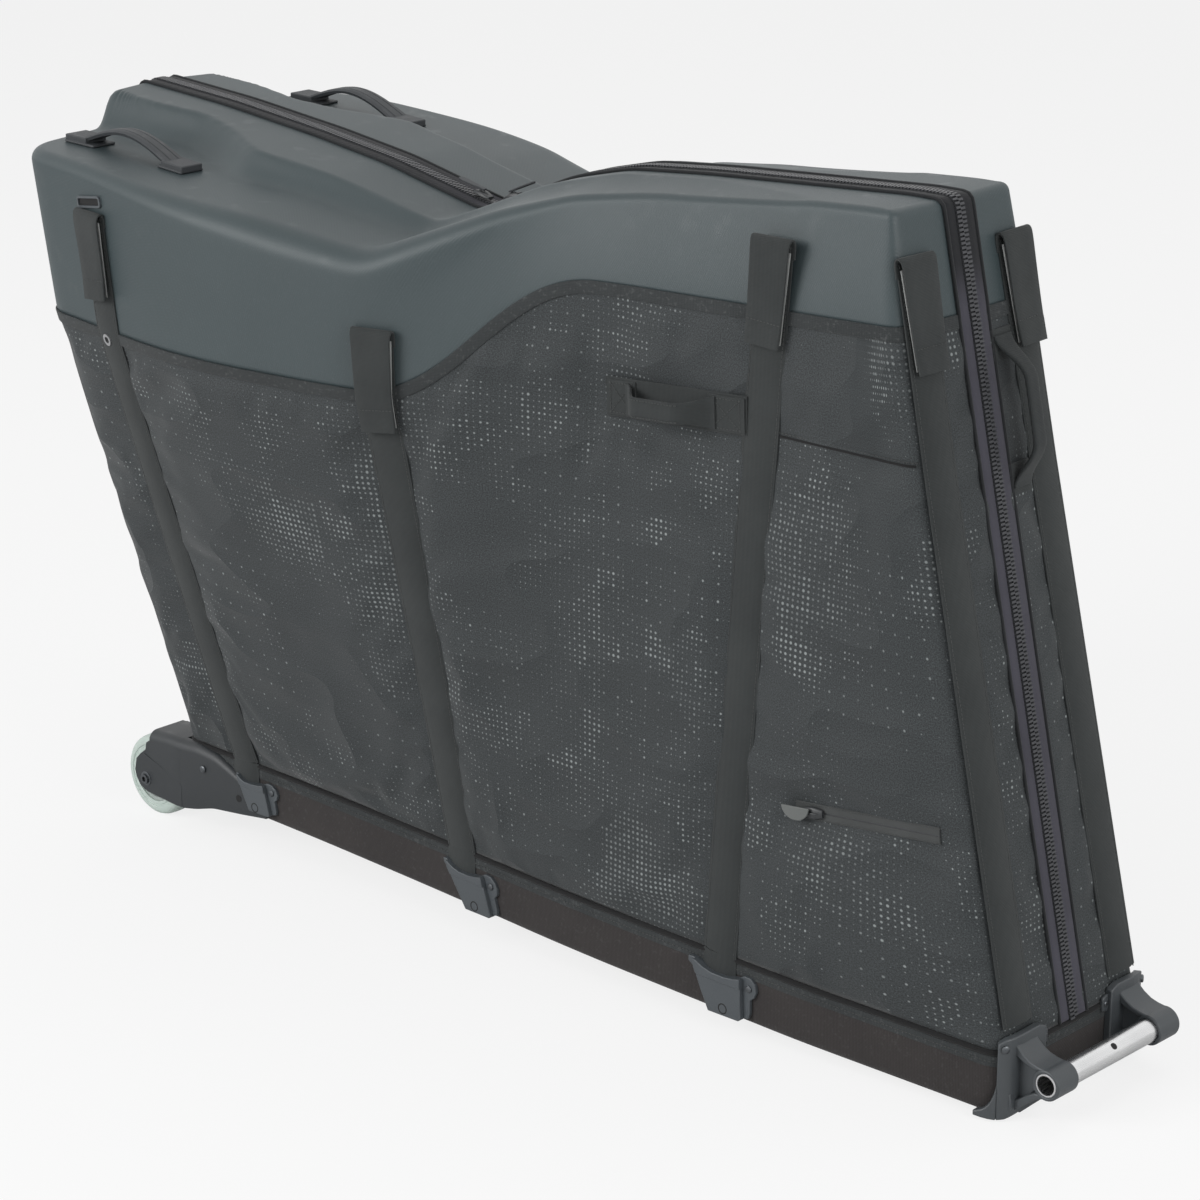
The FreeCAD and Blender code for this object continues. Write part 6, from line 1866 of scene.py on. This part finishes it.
# %% Tube handle
TUBE_HALF = 93.4
bore = TUBE_RADIUS - 2
tube_end = [(bore, -TUBE_HALF), (TUBE_RADIUS - 0.5, -TUBE_HALF), (TUBE_RADIUS, -TUBE_HALF + 0.6),
            (TUBE_RADIUS, -30)]
points, faces = spun(there_and_back(tube_end), tube_spot, 56)
dress(make_piece("grip_tube", points, faces, bright_finish, 35), "base", "bright_tube", "tube_handle")
pin_way = unit(np.array([0.62, 0, 0.78]))
pin_up = np.cross(pin_way, Y_AXIS)
# Painted shade: a thin near-black disc on the tube stands for the pin's hole.
pin = disc(tube_spot, 3.4, TUBE_RADIUS - 0.6, TUBE_RADIUS + 0.12, Y_AXIS, pin_up, pin_way, 18)
dress(make_piece("tube_pin_painted_hole_shade", *pin, painted_hole_shade_finish, 30), "base", "bright_tube")
print("tube", 2 * TUBE_HALF, "mm long")

# %% [markdown]
# ## Zip sliders and pulls
# Small cast sliders sit on the chain in the valley of the top, each with a pull that folds over it. They
# are bodies of their own, so each is drawn in the frame of its stretch of zip: along the chain, across
# it and out of it. A slider is a low boat-shaped block with a bridge; a pull is a flat paddle.


# %% Shapes of sliders and pulls
def slider_solid(spot, way, out):
    """A boat-shaped block that rides over the chain, with a bridge for its pull."""
    wide = unit(np.cross(out, way))
    places = np.linspace(-11, 11, 13)
    sections = []
    for place in places:
        swell = math.cos(place / 11 * math.pi / 2)
        half = 3.9 + 1.9 * swell
        high = 3.4 + 1.6 * swell
        sections.append([(-half, 1.6), (-half, high - 1.2), (-half + 1.2, high), (half - 1.2, high),
                         (half, high - 1.2), (half, 1.6), (0, 0.2)])
    count = len(places)
    sideways = np.repeat(wide[None], count, 0)
    upwards = np.repeat(out[None], count, 0)
    body = sweep(spot + places[:, None] * way, sideways, upwards, np.array(sections))
    turns = np.linspace(0, math.pi, 11)
    hoop = spot + np.cos(turns)[:, None] * way * -6.0 + (4.4 + np.sin(turns)[:, None] * 1.5) * out
    hoop_run = unit(np.gradient(hoop, axis=0))
    wire = [(0.8 * math.cos(turn), 0.6 * math.sin(turn)) for turn in np.linspace(0, 2 * math.pi, 9)[:-1]]
    bridge = sweep(hoop, np.repeat(wide[None], 11, 0), unit(np.cross(wide, hoop_run)), wire)
    return together(body, bridge)


def paddle_solid(spot, way, out, shape, thick):
    """A flat pull in the frame of its slider."""
    wide = unit(np.cross(out, way))
    return plate(shape, 0.0, thick, spot, way, wide, out)


def half_round(start, end, half):
    """A D-shaped pull: straight along one long side, round along the other."""
    turns = np.linspace(0, math.pi, 17)
    middle = (start + end) / 2
    reach = (end - start) / 2
    return [(middle - reach * math.cos(turn), 1.5 * half * math.sin(turn) - half * 0.55) for turn in turns]


print("slider and pull helpers ready")

# %% Main sliders and their pulls
PADDLE = there_and_back(((0.4, -2.4), (8, -2.0), (14, -3.4), (30, -4.3), (36, -3.6), (37.6, -1.6)))
VALLEY = np.array([399.0, 0.0, 712.0])
CHAIN_OVER = 4.4
PULL_LIFT = CHAIN_OVER + 6.7
for side, goal in (("left", (253.0, 0.0, 740.0)), ("right", (526.0, 0.0, 766.0))):
    way = unit(np.array(goal) - VALLEY)
    out = np.array([-way[2], 0.0, way[0]])
    out = out * np.sign(out[2])
    spot = VALLEY + way * 24
    points, faces = slider_solid(spot + out * CHAIN_OVER, way, out)
    dress(make_piece(side + "_zip_slider", points, faces, slider_finish, 45), side + "_slider", "zip_metal",
          "zip_slider_" + side)
    points, faces = paddle_solid(spot + out * PULL_LIFT - way * 2, way, out, PADDLE, 2.0)
    pull = make_piece(side + "_zip_pull", points, faces, grip_finish, 45)
    soften([pull], 0.5)
    dress(pull, side + "_pull", "cord", "zip_pull_" + side)
print("main sliders made")

# %% [markdown]
# ## Pocket in the near panel
# A welted slit closes with a small zip: two flat lips of cloth meet on a dark line. Its pull is a
# half-round tab at the left end.

# %% Pocket zip
xs = np.linspace(SLIT["left"], SLIT["right"], 34)
path, across, out, run = line_on_side(xs, slit_z(xs))
upper = sweep(path + across * 4.3, across, out, tape_section(7.6, 1.9, 0.0))
lower = sweep(path - across * 4.3, across, out, tape_section(7.6, 1.9, 0.0))
points, faces = together(upper, lower)
welt = make_piece("pocket_welt", points, faces, thread_finish, 50)
dress(welt, "near_half", "zip_cloth", "pocket_zip_tape")
points, faces = sweep(path, across, out, tape_section(2.2, 1.0, 0.0))
dress(make_piece("pocket_teeth", points, faces, teeth_finish, 50), "near_half", "zip_teeth")
edges = [path + across * side * 7.0 + out * 1.9 for side in (-1, 1)]
welt_seam = run_tree("pocket_seam", stitch_tree, edges, thread_finish, Pitch=3.8, Length=2.6, Width=0.5)
dress(welt_seam, "near_half", "cord")
print("pocket welt", round(SLIT["right"] - SLIT["left"]), "mm long")

# %% Pocket slider and pull
middle_x = SLIT["left"] + 22
spot_z = slit_z(np.array([middle_x]))
here, along, up, out = wall_frame(side_column(np.array([middle_x]), spot_z), spot_z)
end_xs = np.array([SLIT["left"], SLIT["right"]])
ends = wall(side_column(end_xs, slit_z(end_xs)), slit_z(end_xs))
way = unit(ends[1] - ends[0])
face = unit(out[0] - (out[0] @ way) * way)
points, faces = slider_solid(here[0] + face * 1.9, way, face)
dress(make_piece("pocket_zip_slider", points, faces, slider_finish, 45), "pocket_slider_body", "zip_metal",
      "pocket_slider")
points, faces = paddle_solid(here[0] + face * 8.6 + way * 2, -way, face, half_round(3.0, 35.0, 9.0), 2.0)
tab = make_piece("pocket_half_round_pull", points, faces, puller_finish, 45)
soften([tab], 0.6)
dress(tab, "pocket_pull_body", "cord", "pocket_pull")
print("pocket slider and pull made")

# %% Pleat above the pocket
path, along, up, out = wall_frame(pleat_columns, pleat_zs)
# Painted shade: the thin near-black strip stands for the shade in the pleat's fold.
points, faces = sweep(path, up, out, tape_section(2.4, 0.9, 0.0))
dress(make_piece("pocket_pleat_painted_shade", points, faces, painted_gap_shade_finish, 50), "near_half", "printed_fabric")
pleat_seam = run_tree(
    "pocket_top_seam", stitch_tree, [path + up * 3.2 + out * 0.6], thread_finish,
    Pitch=4.0, Length=2.8, Width=0.5)
dress(pleat_seam, "near_half", "cord")

# %% [markdown]
# ## Carried CAD pieces
# Bearings, the board and the bike stand inside are hard, plain shapes that the CAD model already has
# right. They stay, and only get their finishes.

# %% Finishes for CAD nodes that stay
CARRIED = {
    steel_finish: ("near_bearings", "far_bearings", "fork_axle", "rear_axle"),
    board_finish: ("base_board",),
    bright_finish: ("stand_rail",),
    moulded_finish_grey: ("fork_mount", "rear_mount", "fork_knob", "rear_knob"),
    foam_finish: ("bottom_bracket_rest",),
}
for finish, names in CARRIED.items():
    for name in names:
        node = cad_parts[name]
        node.data.materials.clear()
        node.data.materials.append(finish)
print("carried nodes", sum(len(names) for names in CARRIED.values()))

# %% [markdown]
# ## Studio
# A wide white floor and soft light from large lamps, as in a catalogue. The floor's white comes from a
# little light of its own that only the camera sees, so the case gets no more light for it and still
# throws its shadow.

# %% Floor and world
FLOOR_GLOW = 0.8
WORLD_LIGHT = 0.42
bpy.ops.mesh.primitive_plane_add(size=60, location=(0, 0, 0))
floor = bpy.context.active_object
floor.name = "studio_floor"
material, start = open_finish("floor_white")
rays = start.node("ShaderNodeLightPath", {}, {}, "Is Camera Ray")
matt = start.node("ShaderNodeBsdfDiffuse", {}, {"Color": (0.86, 0.86, 0.86, 1)})
glow = start.node("ShaderNodeEmission", {}, {"Color": (1, 1, 1, 1), "Strength": 1.0})
both = start.node("ShaderNodeMixShader", {}, {0: rays * FLOOR_GLOW, 1: matt, 2: glow})
output = start.tree.nodes.new("ShaderNodeOutputMaterial")
start.tree.links.new(both.socket, output.inputs["Surface"])
floor.data.materials.append(material)

world = bpy.data.worlds.new("studio_world")
bpy.context.scene.world = world
world.use_nodes = True
world.node_tree.nodes.clear()
start = Shade(world.node_tree)
seen = start.node("ShaderNodeLightPath", {}, {}, "Is Camera Ray")
for other in ("Is Glossy Ray", "Is Transmission Ray"):
    seen = start.maths("MAXIMUM", seen, start.node("ShaderNodeLightPath", {}, {}, other))
dim = start.node("ShaderNodeBackground", {}, {"Color": (1, 1, 1, 1), "Strength": WORLD_LIGHT})
white = start.node("ShaderNodeBackground", {}, {"Color": (1, 1, 1, 1), "Strength": 1.0})
mixed = start.node("ShaderNodeMixShader", {}, {0: seen, 1: dim, 2: white})
output = start.tree.nodes.new("ShaderNodeOutputWorld")
start.tree.links.new(mixed.socket, output.inputs["Surface"])
print("floor and world ready")

# %% Lamps
LAMPS = {
    "key_lamp": ((-1.9, -4.3, 2.4), 2.4, 152),
    "fill_lamp": ((4.0, -0.5, 1.7), 2.2, 60),
    "top_lamp": ((0.2, 1.8, 4.6), 3.0, 26),
}
LAMP_AIM = Vector((0, 0, 0.45))
for name, (spot, wide, power) in LAMPS.items():
    light = bpy.data.lights.new(name, "AREA")
    light.shape = "SQUARE"
    light.size = wide
    light.energy = power
    lamp = bpy.data.objects.new(name, light)
    bpy.context.scene.collection.objects.link(lamp)
    lamp.location = spot
    lamp.rotation_euler = (LAMP_AIM - lamp.location).to_track_quat("-Z", "Y").to_euler()
bpy.context.scene.view_settings.view_transform = "Standard"
print("lamps", len(LAMPS))
